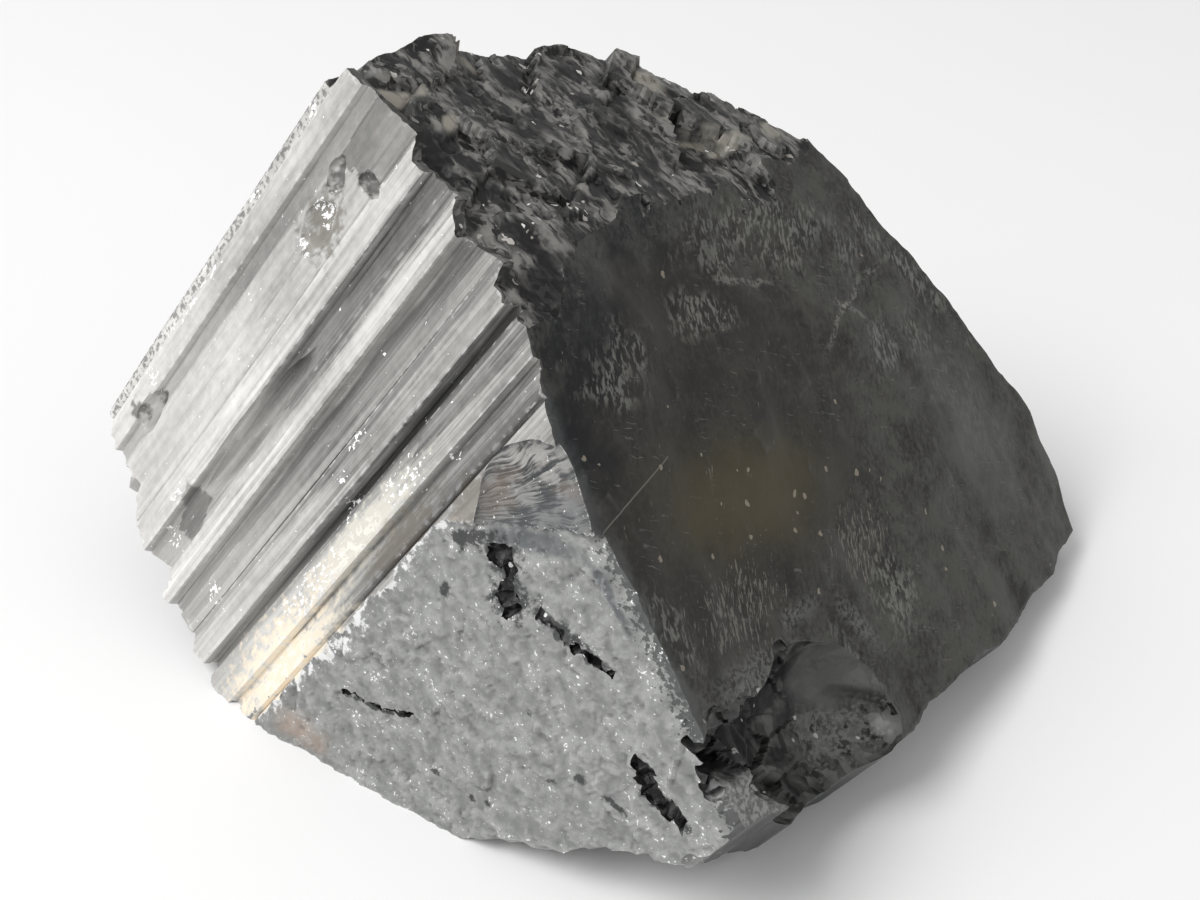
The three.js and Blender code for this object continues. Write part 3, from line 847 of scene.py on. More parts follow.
stone_points = numbers(stone.data.vertices, "co")
normals = numbers(stone.data.vertices, "normal")
first, second = numbers(stone.data.edges, "vertices", np.int64, 2).T
neighbours = np.bincount(np.append(first, second), minlength=len(stone_points))
smooth = stone_points.copy()
for _ in range(SMOOTHING_ROUNDS):
    sums = [
        np.bincount(first, smooth[second, axis], len(smooth))
        + np.bincount(second, smooth[first, axis], len(smooth))
        for axis in range(3)
    ]
    smooth = np.stack(sums, -1) / np.maximum(neighbours, 1)[:, None]
stand_out = ((stone_points - smooth) * normals).sum(1)
store("crest", stand_out)
print("stands out, mm, 5th and 95th percentile:", np.percentile(stand_out, (5, 95)).round(3))

# %% [markdown]
# The grooves between the ribs hold the face's darkest lines, painted in as shade. How deep each
# point lies in them follows from the ribs' own outline, so that is stored as a second number.
# Only the skin near the striated face has it.

# %% Store how deep each point lies in a furrow
FURROW_REACH = -1.6


def stone_in(frame_of_break):
    """The stone's points in the frame of a break: x, y and z."""
    return ((stone_points - np.array(frame_of_break.translation)) @ np.array(frame_of_break)[:3, :3]).T


rib_across, rib_out = np.array(ridge_points()).T
across, _, out = stone_in(FACE)
furrow = np.clip(-np.interp(across, rib_across, rib_out), 0, None) * (out > FURROW_REACH)
store("furrow", furrow)
stone.data.shade_smooth()
stone.data.set_sharp_from_angle(angle=SHARP_ANGLE)
print("points in furrows:", int((furrow > 0.1).sum()))

# %% [markdown]
# ## Spots
# Stains, crushed places and clusters of glints sit in certain spots. Each kind of spot is a
# list of ovals in the frame of one break: the middle's x and y, half the width, half the
# height and, for some, a turn. Every point of the mesh stores how far it is from the nearest
# oval of each kind, and a finish frays that distance into a torn edge.

# %% Store how far each point is from the spots of one kind
FAR_FROM_SPOTS = 9.0


def mark_spots(frame_of_break, kinds):
    """Stores a distance for each kind: 0 in the middle of a spot, 1 at its edge."""
    x, y, _ = stone_in(frame_of_break)
    for kind, ovals in kinds.items():
        nearest = np.full(len(stone_points), FAR_FROM_SPOTS)
        for middle_x, middle_y, half_x, half_y, *turn in ovals:
            dx, dy, lean = x - middle_x, y - middle_y, sum(turn)
            u = (dx * math.cos(lean) + dy * math.sin(lean)) / half_x
            v = (dy * math.cos(lean) - dx * math.sin(lean)) / half_y
            nearest = np.minimum(nearest, np.hypot(u, v))
        store(kind, nearest)

# %% [markdown]
# ## Effects that several finishes share
# Streaks, blades, flecks, grit and worn edges turn up in more than one finish, so each is a
# node group with named inputs, built once. They all work on a place in millimetres, in the
# frame of the break that the material belongs to, so a size in a material is a size on the
# stone. Streaks are noise, and blades are cells with crisp sides; both may be drawn out along
# y. Flecks are separate small marks, grit is grains at several sizes, and the wear group reads
# the numbers stored on the mesh: pale rims that are partly painted highlight, and painted
# shade in hollows and furrows.

# %% Shared node groups
SEED_SHIFT = (7.13, 3.71, 5.37)
FLECK_SIZES, FLECK_EDGE = (0.12, 0.45), 0.06
CRYSTAL_SHARE = 0.35
LEAST_CREST, FURROW_DEPTHS = 0.01, (0.05, 0.85)
CELL_INPUTS = {"Place": "Vector", "Width": "Float", "Length": "Float", "Seed": "Float"}


def stored(tree, name):
    """The number of that name that each point of the mesh holds."""
    return put(tree, "ShaderNodeAttribute", {"attribute_name": name})["Fac"]


def ramp(value, low, high, to_low=0.0, to_high=1.0):
    """A smooth change from to_low to to_high as value goes from low to high."""
    return put(
        value.tree, "ShaderNodeMapRange", {"interpolation_type": "SMOOTHSTEP"},
        Value=value, From_Min=low, From_Max=high, To_Min=to_low, To_Max=to_high,
    )  # fmt: skip


def cells(tree, given, width="Width", length="Length"):
    """The place measured in cells of that width, and of that length along y."""
    size = put(tree, "ShaderNodeCombineXYZ", X=given[width], Y=given[length], Z=given[width])
    seed = put(tree, "ShaderNodeCombineXYZ", X=given["Seed"], Y=given["Seed"], Z=given["Seed"])
    scaled = vectors("DIVIDE", given["Place"], size)
    return vectors("MULTIPLY_ADD", seed, SEED_SHIFT, scaled)


def voronoi(place):
    """How far each place is from the middle of its cell."""
    return put(place.tree, "ShaderNodeTexVoronoi", Vector=place, Scale=1.0)


def clouds(place, scale, detail, roughness):
    """Noise from 0 to 1, mostly near a half."""
    inputs = {"Scale": scale, "Detail": detail, "Roughness": roughness}
    return put(place.tree, "ShaderNodeTexNoise", Vector=place, **inputs)


def draw_streaks(tree, given):
    return {"Value": clouds(cells(tree, given), scale=1.0, detail=2.0, roughness=0.6)}


def draw_blades(tree, given):
    """Each cell has two random values of its own."""
    random = put(tree, "ShaderNodeSeparateColor", Color=voronoi(cells(tree, given))["Color"])
    return {"Value": random["Red"], "Other": random["Green"]}


def draw_flecks(tree, given):
    """A share of the cells holds one mark each, of a random size and shade."""
    away = voronoi(cells(tree, given))
    random = put(tree, "ShaderNodeSeparateColor", Color=away["Color"])
    chosen = maths("LESS_THAN", random["Red"], given["Share"])
    size = ramp(random["Green"], 0.0, 1.0, *FLECK_SIZES)
    mark = ramp(away - size, -FLECK_EDGE, 0.0, 1.0, 0.0)
    return {"Mask": chosen * mark, "Shade": random["Blue"]}


def draw_grit(tree, given):
    """Value is 0 to 1, and Height suits a Bump node."""
    place = cells(tree, given, "Size", "Size")
    value = clouds(place, scale=0.5, detail=4.0, roughness=0.65)
    return {"Value": value, "Height": value - voronoi(place) * CRYSTAL_SHARE}


def draw_wear(tree, given):
    """The rim mask is crushed edges, partly painted highlight; the pit mask is painted shade in small
    hollows, and the furrow mask painted shade in the grooves between the ribs.
    """
    crest = stored(tree, "crest")
    return {
        "Rim": ramp(crest, LEAST_CREST, given["Edge"]),
        "Pit": ramp(crest * -1.0, LEAST_CREST, given["Hollow"]),
        "Furrow": ramp(stored(tree, "furrow"), *FURROW_DEPTHS),
    }


streaks = new_tree("streaks", CELL_INPUTS, draw_streaks, "Shader")
blades = new_tree("blades", CELL_INPUTS, draw_blades, "Shader")
flecks = new_tree("flecks", {**CELL_INPUTS, "Share": "Float"}, draw_flecks, "Shader")
grit = new_tree("grit", {"Place": "Vector", "Size": "Float", "Seed": "Float"}, draw_grit, "Shader")
wear_and_shade = new_tree("wear_and_shade", {"Edge": "Float", "Hollow": "Float"}, draw_wear, "Shader")
print("groups:", [g.name for g in (streaks, blades, flecks, grit, wear_and_shade)])

# %% [markdown]
# ## Helpers for a finish
# A finish starts from a place in millimetres: a Mapping node turns Object coordinates into
# the frame of a break. From there each layer is one colour over another under a mask. In a
# finish the numbers after a pattern are its width and length in millimetres and its seed. The
# numbers after a ramp's value are where it starts and ends, and the one after a colour is how
# much of that colour shows.

# %% Finish helpers
def place_in(tree, frame_of_break):
    """The place in millimetres, in that frame."""
    turn = frame_of_break.to_3x3().transposed()
    return put(
        tree, "ShaderNodeMapping",
        Vector=put(tree, "ShaderNodeTexCoord")["Object"],
        Location=turn @ (BOX_MIDDLE - frame_of_break.translation),
        Rotation=turn.to_euler("XYZ"), Scale=(1 / MM,) * 3,
    )  # fmt: skip


def axis_of(place, axis):
    return put(place.tree, "ShaderNodeSeparateXYZ", Vector=place)[axis]


def out_of(place, frame_of_break):
    """How far each place lies outside that break's plane."""
    return axis_of(place_in(place.tree, frame_of_break), "Z")


def open_finish(zone, frame_of_break, roughness, specular):
    """A zone's material: its tree, its shader and the place in millimetres."""
    finish[zone].use_nodes = True
    tree = finish[zone].node_tree
    shader = tree.nodes["Principled BSDF"]
    shader.inputs["Roughness"].default_value = roughness
    shader.inputs["Specular IOR Level"].default_value = specular
    return tree, shader, place_in(tree, frame_of_break)


def close_finish(shader, colour, height, distance, strength, roughness=None):
    """Gives the shader its colour, a relief of that many mm and, if given, a mixed roughness."""
    bump = put(colour.tree, "ShaderNodeBump", Height=height, Distance=distance * MM, Strength=strength)
    for name, value in (("Base Color", colour), ("Normal", bump), ("Roughness", roughness)):
        if value:
            colour.tree.links.new(value.socket, shader.inputs[name])


def ragged(place, size, amount):
    """The place shaken by a noise, so that the marks drawn on it get ragged outlines."""
    return vectors("ADD", place, shake(place, 1 / size, 1.0, amount))


def turned(place, angle):
    """The place turned about z, so that marks drawn along y lean that far to the right."""
    return put(place.tree, "ShaderNodeMapping", Vector=place, Rotation=(0.0, 0.0, angle))


def use(tree, group, **inputs):
    """Places a shared group and gives its first output."""
    return put(tree, "ShaderNodeGroup", {"node_tree": group}, **inputs)


def pattern_of(group, place, width, length, seed, **more):
    """A shared pattern in cells of that width and length, in mm."""
    return use(place.tree, group, Place=place, Width=width, Length=length, Seed=seed, **more)


def spot(kind, torn, fray=1.0, softness=0.5):
    """The mask of one kind of spot. Torn is a noise that frays its edge."""
    edge = torn * fray + (stored(torn.tree, kind) - 0.5 * fray)
    return ramp(edge, 1.0 - softness, 1.0, 1.0, 0.0)


def over(mask, below, above, share=1.0):
    """The colour above laid over the colour below, where the mask is 1."""
    if share != 1.0:
        mask = mask * share
    below, above = ((*c, 1.0) if isinstance(c, tuple) else c for c in (below, above))
    return put(mask.tree, "ShaderNodeMix", {"data_type": "RGBA"}, i0=mask, i6=below, i7=above)[2]

# %% [markdown]
# ## Striated face
# The face is silvery where the light catches it, and that silver is partly painted sheen: milky
# at the left, painted lighter below, darker towards the dark break. Blades of three widths give
# the striations, and the furrows between the ribs are grey with black lines, partly painted
# shade. A cream stain covers the lower right, with a brown break at the upper left. Glints
# gather in places that were broken. The far sides of the prism are the same skin but black,
# since nothing has frosted them and no sheen is painted there.

# %% Bands and spots of the striated face
FACE_WIDTH = 24.0
# the darkest stops lie in the grooves between the ribs and are painted shade
FACE_TONE_AND_GROOVE_SHADE = [  # place across the striated face, how light the stone is there
    (0.0, 0.42), (1.5, 0.6), (1.9, 0.46), (3.0, 0.46), (3.3, 0.27), (3.9, 0.26), (4.2, 0.42), (8.9, 0.5),
    (9.3, 0.13), (11.0, 0.27), (11.5, 0.46), (12.8, 0.42), (13.0, 0.09), (14.2, 0.2), (14.6, 0.3),
    (15.5, 0.16), (15.8, 0.38), (17.0, 0.36), (17.3, 0.05), (17.8, 0.08), (18.1, 0.28), (19.9, 0.36),
    (20.05, 0.12), (20.4, 0.28), (21.6, 0.12), (22.0, 0.3), (23.5, 0.24),
]  # fmt: skip
mark_spots(FACE, {
    "cream": [(20.9, -4.0, 3.2, 9.0), (19.2, 6.0, 1.3, 8.0), (22.5, 11.0, 0.75, 2.6)],
    "brown_break": [(5.8, 14.3, 1.8, 2.6), (20.9, 9.0, 1.2, 4.6), (22.6, 15.0, 1.6, 2.6)],
    "face_pit_shade": [
        (4.7, 16.9, 0.9, 1.2, 0.2), (6.8, 18.7, 1.0, 0.7, 0.4), (3.4, -4.7, 0.6, 0.9), (2.6, -6.6, 0.7, 0.8),
    ],
    "face_glints": [
        (1.65, 3.6, 0.5, 5.4), (5.3, 14.8, 1.5, 1.4), (5.6, 12.4, 1.3, 0.7), (19.0, 11.6, 1.2, 3.2),
        (17.6, 6.6, 0.9, 1.6), (19.0, 1.0, 1.3, 5.6), (15.5, 9.6, 0.45, 1.6), (16.2, 7.3, 0.6, 1.0),
        (14.7, -7.2, 1.2, 1.2), (10.0, -9.0, 1.5, 1.0), (22.9, 5.5, 0.6, 4.8), (1.0, 10.4, 0.6, 1.6),
        (20.0, 15.3, 0.6, 1.0), (1.0, 17.5, 0.9, 1.0), (8.5, -6.5, 0.8, 1.2), (2.2, -4.0, 1.2, 1.2),
    ],
})  # fmt: skip


# %% Striated finish
def bands(value, width, stops):
    """How light the stone is at each place across, with painted shade where a stop lies in a groove."""
    lightness = put(value.tree, "ShaderNodeValToRGB", i0=value / width)
    steps = lightness.node.color_ramp.elements
    steps.remove(steps[1])
    for index, (place, light) in enumerate(stops):
        step = steps[0] if index == 0 else steps.new(place / width)
        step.color = (light, light, light, 1.0)
    return lightness


def striated_finish():
    tree, shader, place = open_finish("striated", FACE, 0.4, 0.5)
    across, along, out = (axis_of(place, axis) for axis in "XYZ")
    # blades of three widths, and the bands that they darken or lighten
    wide = pattern_of(blades, place, 1.1, 26.0, 1.0)
    middle = pattern_of(blades, place, 0.42, 13.0, 2.0)
    fine = pattern_of(blades, place, 0.16, 14.0, 3.0)
    cloudy = pattern_of(streaks, place, 1.3, 7.0, 4.0)
    crumbs = pattern_of(streaks, place, 0.5, 0.7, 5.0)
    wavy = cloudy * 0.8 + (across - 0.4)
    band = bands(wavy, FACE_WIDTH, FACE_TONE_AND_GROOVE_SHADE)
    crisp = 0.3 * wide + 0.35 * middle + 0.4 * fine - 0.525
    crisp = crisp * ramp(across, 6.0, 11.0, 0.35, 1.3)
    marks = crisp + 1.1 * cloudy + 0.6 * crumbs + 0.15
    # painted light: towards its lower end the face is made up to 1.6 times lighter
    tone = band * (marks * ramp(along, 9.0, -8.0, 1.0, 1.6))
    # the lower part is frosted, and the cream stain lies on it
    faded = ramp(along, 8.0, -5.0) * ramp(across, 16.6, 17.2, 0.7, 1.0)
    tone = tone * ramp(faded, 0.0, 1.0, 1.0, 0.45) + 0.26 * faded
    # the face's light grey is partly painted sheen, the light that its ribs reflect
    colour = over(tone, (0.0, 0.0, 0.0), (1.0, 0.985, 0.945))
    warm = over(ramp(along, 6.0, -3.0), (0.7, 0.67, 0.59), (0.96, 0.83, 0.65))
    speckled = over(ramp(crumbs, 0.5, 0.56), warm, (1.0, 0.97, 0.88), 0.6)
    stain = spot("cream", crumbs, 1.8, 0.7)
    colour = over(stain * ramp(tone, 0.05, 0.22), colour, speckled, 0.85)
    colour = over(spot("brown_break", crumbs, 2.0, 0.6), colour, (0.13, 0.11, 0.085), 0.6)
    # painted shade in pits, furrows and the pit spots, pale rims that are partly crushed and partly painted
    # highlight, and a speckled left border
    rims_and_shade = use(tree, wear_and_shade, Edge=0.06, Hollow=0.08)
    colour = over(rims_and_shade["Pit"], colour, (0.06, 0.06, 0.063), 0.3)
    groove_shade = rims_and_shade["Furrow"] * ramp(faded, 0.0, 1.0, 1.0, 0.25)
    colour = over(groove_shade, colour, (0.05, 0.048, 0.045), 0.4)
    colour = over(spot("face_pit_shade", crumbs, 2.0, 0.6), colour, (0.05, 0.048, 0.045), 0.75)
    crushed_and_lit_crests = rims_and_shade["Rim"] * ramp(crumbs, 0.5, 0.62)
    colour = over(crushed_and_lit_crests, colour, (0.9, 0.9, 0.9), 0.3)
    specks = pattern_of(streaks, place, 0.3, 0.35, 7.0)
    border = ramp(across, 1.8, 1.0) * ramp(specks, 0.5, 0.56)
    colour = over(border, colour, (0.08, 0.08, 0.08), 0.7)
    # glints, and black skin on the far sides
    sparks = pattern_of(streaks, place, 0.22, 0.4, 6.0)
    crowded = spot("face_glints", crumbs, 0.8, 0.7)
    glint = ramp(crowded * 0.17 + sparks, 0.72, 0.75)
    colour = over(glint, colour, (1.0, 1.0, 1.0))
    far = ramp(out, -1.8, -0.7, 1.0, 0.0)
    black = over(ramp(marks, 0.5, 1.5), (0.012, 0.012, 0.013), (0.085, 0.085, 0.087))
    colour = over(far, colour, black)
    close_finish(shader, colour, 0.6 * middle + 0.4 * fine, 0.05, 0.6, ramp(cloudy, 0.35, 0.65, 0.32, 0.5))


striated_finish()

# %% [markdown]
# ## Dark break
# The large break is nearly black glass: charcoal with brown in it, bluer at the upper left,
# with a painted olive glow in the middle. It is polished by wear, so it shows short pale
# scratches near its lower edge and a dusty grey-green rim. Where it meets the grey break,
# crushed grains lie on it as a grey fringe.

# %% Spots and lines of the dark break
mark_spots(DARK, {
    "blue_black": [(-7.0, 20.5, 6.0, 5.0, 0.3), (1.5, 22.5, 7.0, 3.5), (-12.0, 18.5, 3.0, 7.5, 0.3)],
    "olive_glow": [(-3.0, 8.2, 11.0, 4.6, -0.45)],
    "clean": [(-3.5, 11.5, 17.5, 13.0)],
    "powder": [
        (20.5, 9.0, 1.5, 7.0, 0.4),
        (14.3, 7.0, 2.6, 2.0), (18.0, 6.0, 2.4, 2.2), (10.5, 16.5, 5.5, 3.2, -0.5), (5.5, 18.5, 3.2, 2.6),
        (3.0, -2.5, 2.6, 2.4), (-13.0, 7.0, 1.4, 3.6), (-8.5, 1.0, 5.5, 0.9, -0.42), (-2.4, -2.8, 0.9, 3.2),
        (-6.0, 17.5, 3.4, 2.4), (1.8, 16.0, 2.8, 1.8, -0.5), (18.0, 0.0, 3.0, 6.5), (16.0, 12.0, 2.2, 2.6),
    ],
    "scoop_rim": [(-9.0, 2.2, 6.5, 1.1, -0.36), (-4.0, 2.0, 2.6, 0.9, -0.2), (-0.6, -1.5, 0.9, 3.4, 0.25)],
    "scratched": [(-7.6, 4.8, 6.5, 3.2, -0.42), (3.0, 1.5, 4.5, 3.0), (-4.5, 10.5, 1.0, 0.6)],
    "pale_arcs": [(13.5, 10.2, 6.5, 1.6), (6.4, 15.5, 3.4, 1.6, -0.54)],
    "granular": [(-14.6, -2.0, 3.2, 2.2, -0.6)],
    "smooth": [(17.5, -0.5, 4.5, 8.0, -0.2)],
})  # fmt: skip
SHELL_LINES = [(15.5, -8.0, 18.6), (-8.9, -10.2, 30.0)]  # middle x and y, radius
SHELL_LINE_WIDTH = 0.3
SCRATCH_LEAN = math.radians(38)
THREAD_LEAN = math.radians(-52)
LONG_SCRATCH = {"y": 12.7, "from_x": -15.2, "to_x": -6.4, "half_width": 0.05}


# %% Dark finish
def length_of(x, y):
    return maths("SQRT", x * x + y * y)


def thin_line(off, half_width):
    """The mask of a line, from how far each place is off it."""
    return ramp(maths("ABSOLUTE", off), 0.3 * half_width, half_width, 1.0, 0.0)


def dark_finish():
    tree, shader, place = open_finish("dark", DARK, 0.42, 0.22)
    grains = use(tree, grit, Place=place, Size=1.2, Seed=11.0)
    torn = pattern_of(streaks, place, 2.2, 2.2, 12.0)
    leaning = turned(ragged(place, 0.8, 0.3), SCRATCH_LEAN)
    fibres = pattern_of(streaks, leaning, 0.24, 0.6, 16.0)
    dust = pattern_of(streaks, place, 0.26, 0.26, 17.0)
    mottled = 0.5 * grains["Value"] + 0.25 * fibres + 0.25 * dust
    # the glass, its bluer area, the painted olive glow and the dust around
    colour = over(ramp(mottled, 0.4, 0.62), (0.02, 0.019, 0.0175), (0.042, 0.0388, 0.0333))
    colour = over(spot("blue_black", torn, 0.9, 0.7), colour, (0.006, 0.0065, 0.009), 0.85)
    # painted light: an olive glow in the middle of the glass
    colour = over(spot("olive_glow", torn, 0.5, 0.9), colour, (0.075, 0.063, 0.034), 0.75)
    around = ramp(spot("clean", torn, 0.7, 0.5), 0.0, 1.0, 1.0, 0.0)
    dusty = around * ramp(mottled, 0.38, 0.6)
    colour = over(dusty, colour, (0.082, 0.084, 0.075), 0.6)
    powder = spot("powder", torn, 2.2, 0.8) * ramp(fibres, 0.47, 0.6)
    colour = over(powder, colour, (0.19, 0.19, 0.176), 0.65)
    # shell lines, and the smooth area at the right
    wavy_x, wavy_y = (axis_of(ragged(place, 1.6, 1.0), axis) for axis in "XY")
    near, far = (
        thin_line(length_of(wavy_x - middle_x, wavy_y - middle_y) - radius, SHELL_LINE_WIDTH)
        for middle_x, middle_y, radius in SHELL_LINES
    )
    lines = (near + far) * ramp(dust, 0.42, 0.54) * spot("pale_arcs", torn, 1.0, 0.6)
    colour = over(lines, colour, (0.2, 0.198, 0.18), 0.55)
    colour = over(spot("smooth", torn, 0.8, 0.8), colour, (0.085, 0.089, 0.08), 0.75)
    rim_dust = spot("scoop_rim", torn, 1.4, 0.9) * ramp(dust, 0.42, 0.56)
    colour = over(rim_dust, colour, (0.13, 0.132, 0.125), 0.75)
    # scratches, threads across them, chips and one long scratch
    hairs = pattern_of(streaks, leaning, 0.13, 0.9, 13.0)
    scratch = ramp(spot("scratched", torn, 0.8, 0.8) * 0.19 + hairs, 0.71, 0.76)
    colour = over(scratch, colour, (0.2, 0.185, 0.16), 0.6)
    threads = pattern_of(streaks, turned(leaning, THREAD_LEAN - SCRATCH_LEAN), 0.12, 1.6, 14.0)
    crossing = ramp(ramp(torn, 0.5, 0.62) * 0.1 + threads, 0.72, 0.78)
    colour = over(crossing, colour, (0.15, 0.15, 0.138), 0.5)
    few = spot("olive_glow", torn, 0.5, 0.5) * 0.05 + 0.012
    chip = pattern_of(flecks, ragged(leaning, 0.3, 0.25), 0.4, 0.5, 15.0, Share=few)
    colour = over(chip, colour, (0.33, 0.29, 0.23), 0.6)
    x, y = (axis_of(place, axis) for axis in "XY")
    line = thin_line(y - LONG_SCRATCH["y"], LONG_SCRATCH["half_width"])
    within = maths("GREATER_THAN", x, LONG_SCRATCH["from_x"]) * maths("LESS_THAN", x, LONG_SCRATCH["to_x"])
    colour = over(line * within, colour, (0.2, 0.19, 0.17), 0.6)
    # crushed grains along the grey break, and pale rims, partly worn and partly painted highlight
    to_grain = out_of(place, GRAIN)
    fringe = ramp(grains["Value"] * 3.0 + to_grain, 0.5, 1.5)
    colour = over(fringe, colour, (0.09, 0.095, 0.095), 0.55)
    crumbly = over(ramp(dust, 0.4, 0.6), (0.13, 0.13, 0.128), (0.3, 0.3, 0.295))
    colour = over(spot("granular", torn, 0.8, 0.3), colour, crumbly, 0.85)
    rims_and_shade = use(tree, wear_and_shade, Edge=0.05, Hollow=0.06)
    colour = over(rims_and_shade["Rim"], colour, (0.12, 0.12, 0.11), 0.35)
    close_finish(shader, colour, mottled, 0.1, 0.3, ramp(mottled, 0.35, 0.65, 0.38, 0.52))


dark_finish()

# %% [markdown]
# ## Rough, sugary and hollow finishes
# The top is black shards with paler ones among them, painted shade in its hollows and a tan
# ledge at its far rim. The grey break is made of crushed grains: mid grey, with white sparkles,
# a white crushed line along the striated face and a painted shadow under the brown chip. The
# scoop is black inside, darkened further with painted shade, with pale chips and a grey shell;
# the chip on the ledge is brown and fibrous, with a painted highlight on its lip and painted
# shade below it, and the cracks are black.

# %% Finish of the rough top
mark_spots(TOP, {
    "top_hollow_shade": [
        (4.6, 15.8, 2.4, 1.9), (0.6, 19.2, 2.6, 1.0), (-6.5, 12.5, 3.8, 2.4), (6.5, 9.2, 1.6, 0.8),
        (8.2, 17.0, 1.7, 1.4), (1.5, 12.0, 1.5, 1.0), (13.5, 8.4, 1.4, 0.7), (10.0, 12.0, 1.4, 2.6),
    ],
    "tan_ledges": [
        (11.6, 8.2, 0.6, 2.9, 0.2), (12.4, 5.2, 2.2, 0.5, -0.7), (15.8, 3.0, 1.5, 0.9, -0.4),
        (14.0, 10.6, 1.9, 1.2), (9.2, 20.5, 0.5, 1.6), (3.4, 22.5, 0.7, 2.4, 0.2), (2.5, 19.4, 0.9, 0.5),
    ],
    "top_glints": [
        (-3.6, 14.6, 1.6, 1.2), (4.4, 10.3, 1.2, 0.5), (5.0, 18.5, 0.8, 0.5), (0.4, 14.6, 1.8, 0.5),
        (-1.5, 12.4, 2.0, 1.2), (13.8, 9.6, 1.6, 0.8), (14.5, 7.0, 0.9, 0.4), (9.8, 16.3, 0.8, 0.5),
    ],
})  # fmt: skip


def top_finish():
    tree, shader, place = open_finish("top", TOP, 0.38, 0.38)
    shaken = ragged(turned(place, 0.7), 0.9, 0.7)
    torn = pattern_of(streaks, shaken, 0.9, 2.8, 21.0)
    large = pattern_of(blades, shaken, 0.7, 2.2, 22.0)
    small = pattern_of(blades, shaken, 0.2, 0.7, 23.0)
    tone = 0.2 * large + 0.3 * small + 1.2 * torn
    colour = over(ramp(tone, 0.75, 1.12), (0.008, 0.008, 0.008), (0.19, 0.185, 0.174))
    # painted shade: near-black patches in the top's hollows
    colour = over(spot("top_hollow_shade", torn, 1.4, 0.6), colour, (0.003, 0.003, 0.0035), 0.9)
    colour = over(spot("tan_ledges", torn, 1.6, 0.6), colour, (0.3, 0.28, 0.24), 0.8)
    # pale rims, partly crushed and partly painted highlight, and painted shade in small hollows
    rims_and_shade = use(tree, wear_and_shade, Edge=0.09, Hollow=0.1)
    colour = over(rims_and_shade["Rim"], colour, (0.17, 0.17, 0.16), 0.2)
    colour = over(rims_and_shade["Pit"], colour, (0.006, 0.006, 0.006), 0.4)
    share = spot("top_glints", torn, 1.0, 0.5) * 0.5 + 0.03
    glint = pattern_of(flecks, ragged(shaken, 0.25, 0.25), 0.4, 0.6, 24.0, Share=share)
    bright = over(glint["Shade"], (0.3, 0.27, 0.24), (0.85, 0.85, 0.83))
    colour = over(glint["Mask"], colour, bright, 0.85)
    close_finish(shader, colour, 0.6 * torn + 0.3 * small, 0.2, 0.5, ramp(small, 0.0, 1.0, 0.28, 0.5))


top_finish()

# %% Sugary grey finish
mark_spots(GRAIN, {
    "reddish": [(-9.0, -0.8, 2.6, 1.5)],
    "ledge_shadow": [(5.3, 16.7, 3.8, 0.85, 0.25), (9.6, 15.8, 2.6, 0.35, -0.85)],
    "black_pits": [
        (3.2, 15.3, 1.3, 1.3), (4.1, 13.1, 1.5, 1.2, 0.5), (6.9, 12.8, 1.8, 0.7, -0.25),
        (9.3, 12.2, 1.4, 0.4), (-4.2, 3.1, 2.4, 0.2, 0.1), (0.2, 1.1, 0.5, 0.22),
        (2.6, 0.7, 0.3, 0.3, 0.7), (3.7, 1.0, 0.3, 0.22), (7.3, 4.4, 0.4, 0.22, 0.3),
        (9.0, 5.4, 0.5, 0.3), (11.2, 5.0, 0.7, 0.22, -0.4), (12.5, 7.4, 0.6, 1.3),
        (13.9, 6.2, 1.3, 0.7, -0.4), (1.5, 15.4, 1.6, 0.6, 0.5), (0.2, 12.0, 0.4, 0.5),
        (5.7, 7.4, 0.22, 0.3),
    ],
})  # fmt: skip


def grain_finish():
    tree, shader, place = open_finish("grain", GRAIN, 0.6, 0.4)
    sugar = use(tree, grit, Place=place, Size=0.36, Seed=31.0)
    torn = pattern_of(streaks, place, 1.3, 1.3, 32.0)
    tone = 0.5 * sugar["Value"] + 0.5 * torn
    colour = over(ramp(tone, 0.36, 0.64), (0.185, 0.19, 0.185), (0.325, 0.33, 0.32))
    colour = over(spot("reddish", torn, 1.2, 0.8), colour, (0.36, 0.27, 0.215), 0.6)
    # painted shadow: a dark band under the brown chip's ledge
    colour = over(spot("ledge_shadow", torn, 1.2, 0.6), colour, (0.07, 0.078, 0.085), 0.7)
    # pale rims, partly crushed and partly painted highlight, and painted shade in small hollows
    rims_and_shade = use(tree, wear_and_shade, Edge=0.06, Hollow=0.08)
    colour = over(rims_and_shade["Rim"], colour, (0.55, 0.55, 0.55), 0.2)
    colour = over(rims_and_shade["Pit"], colour, (0.07, 0.07, 0.072), 0.4)
    colour = over(spot("black_pits", sugar["Value"], 3.0, 0.5), colour, (0.018, 0.018, 0.02), 0.85)
    to_face = out_of(place, FACE)
    crushed = ramp(sugar["Value"] + to_face, 0.46, 0.56)
    colour = over(crushed, colour, (0.85, 0.85, 0.85), 0.75)
    to_dark = out_of(place, DARK)
    crumbs = pattern_of(streaks, place, 0.3, 0.3, 34.0)
    fringe = ramp(crumbs * 4.5 + to_dark, 1.7, 2.1)
    colour = over(fringe, colour, (0.03, 0.032, 0.035), 0.75)
    sparks = pattern_of(streaks, place, 0.2, 0.2, 33.0)
    glint = ramp(ramp(torn, 0.44, 0.64) * 0.1 + sparks, 0.7, 0.77)
    colour = over(glint, colour, (1.0, 1.0, 1.0), 0.75)
    close_finish(shader, colour, sugar["Height"], 0.13, 0.5)


grain_finish()

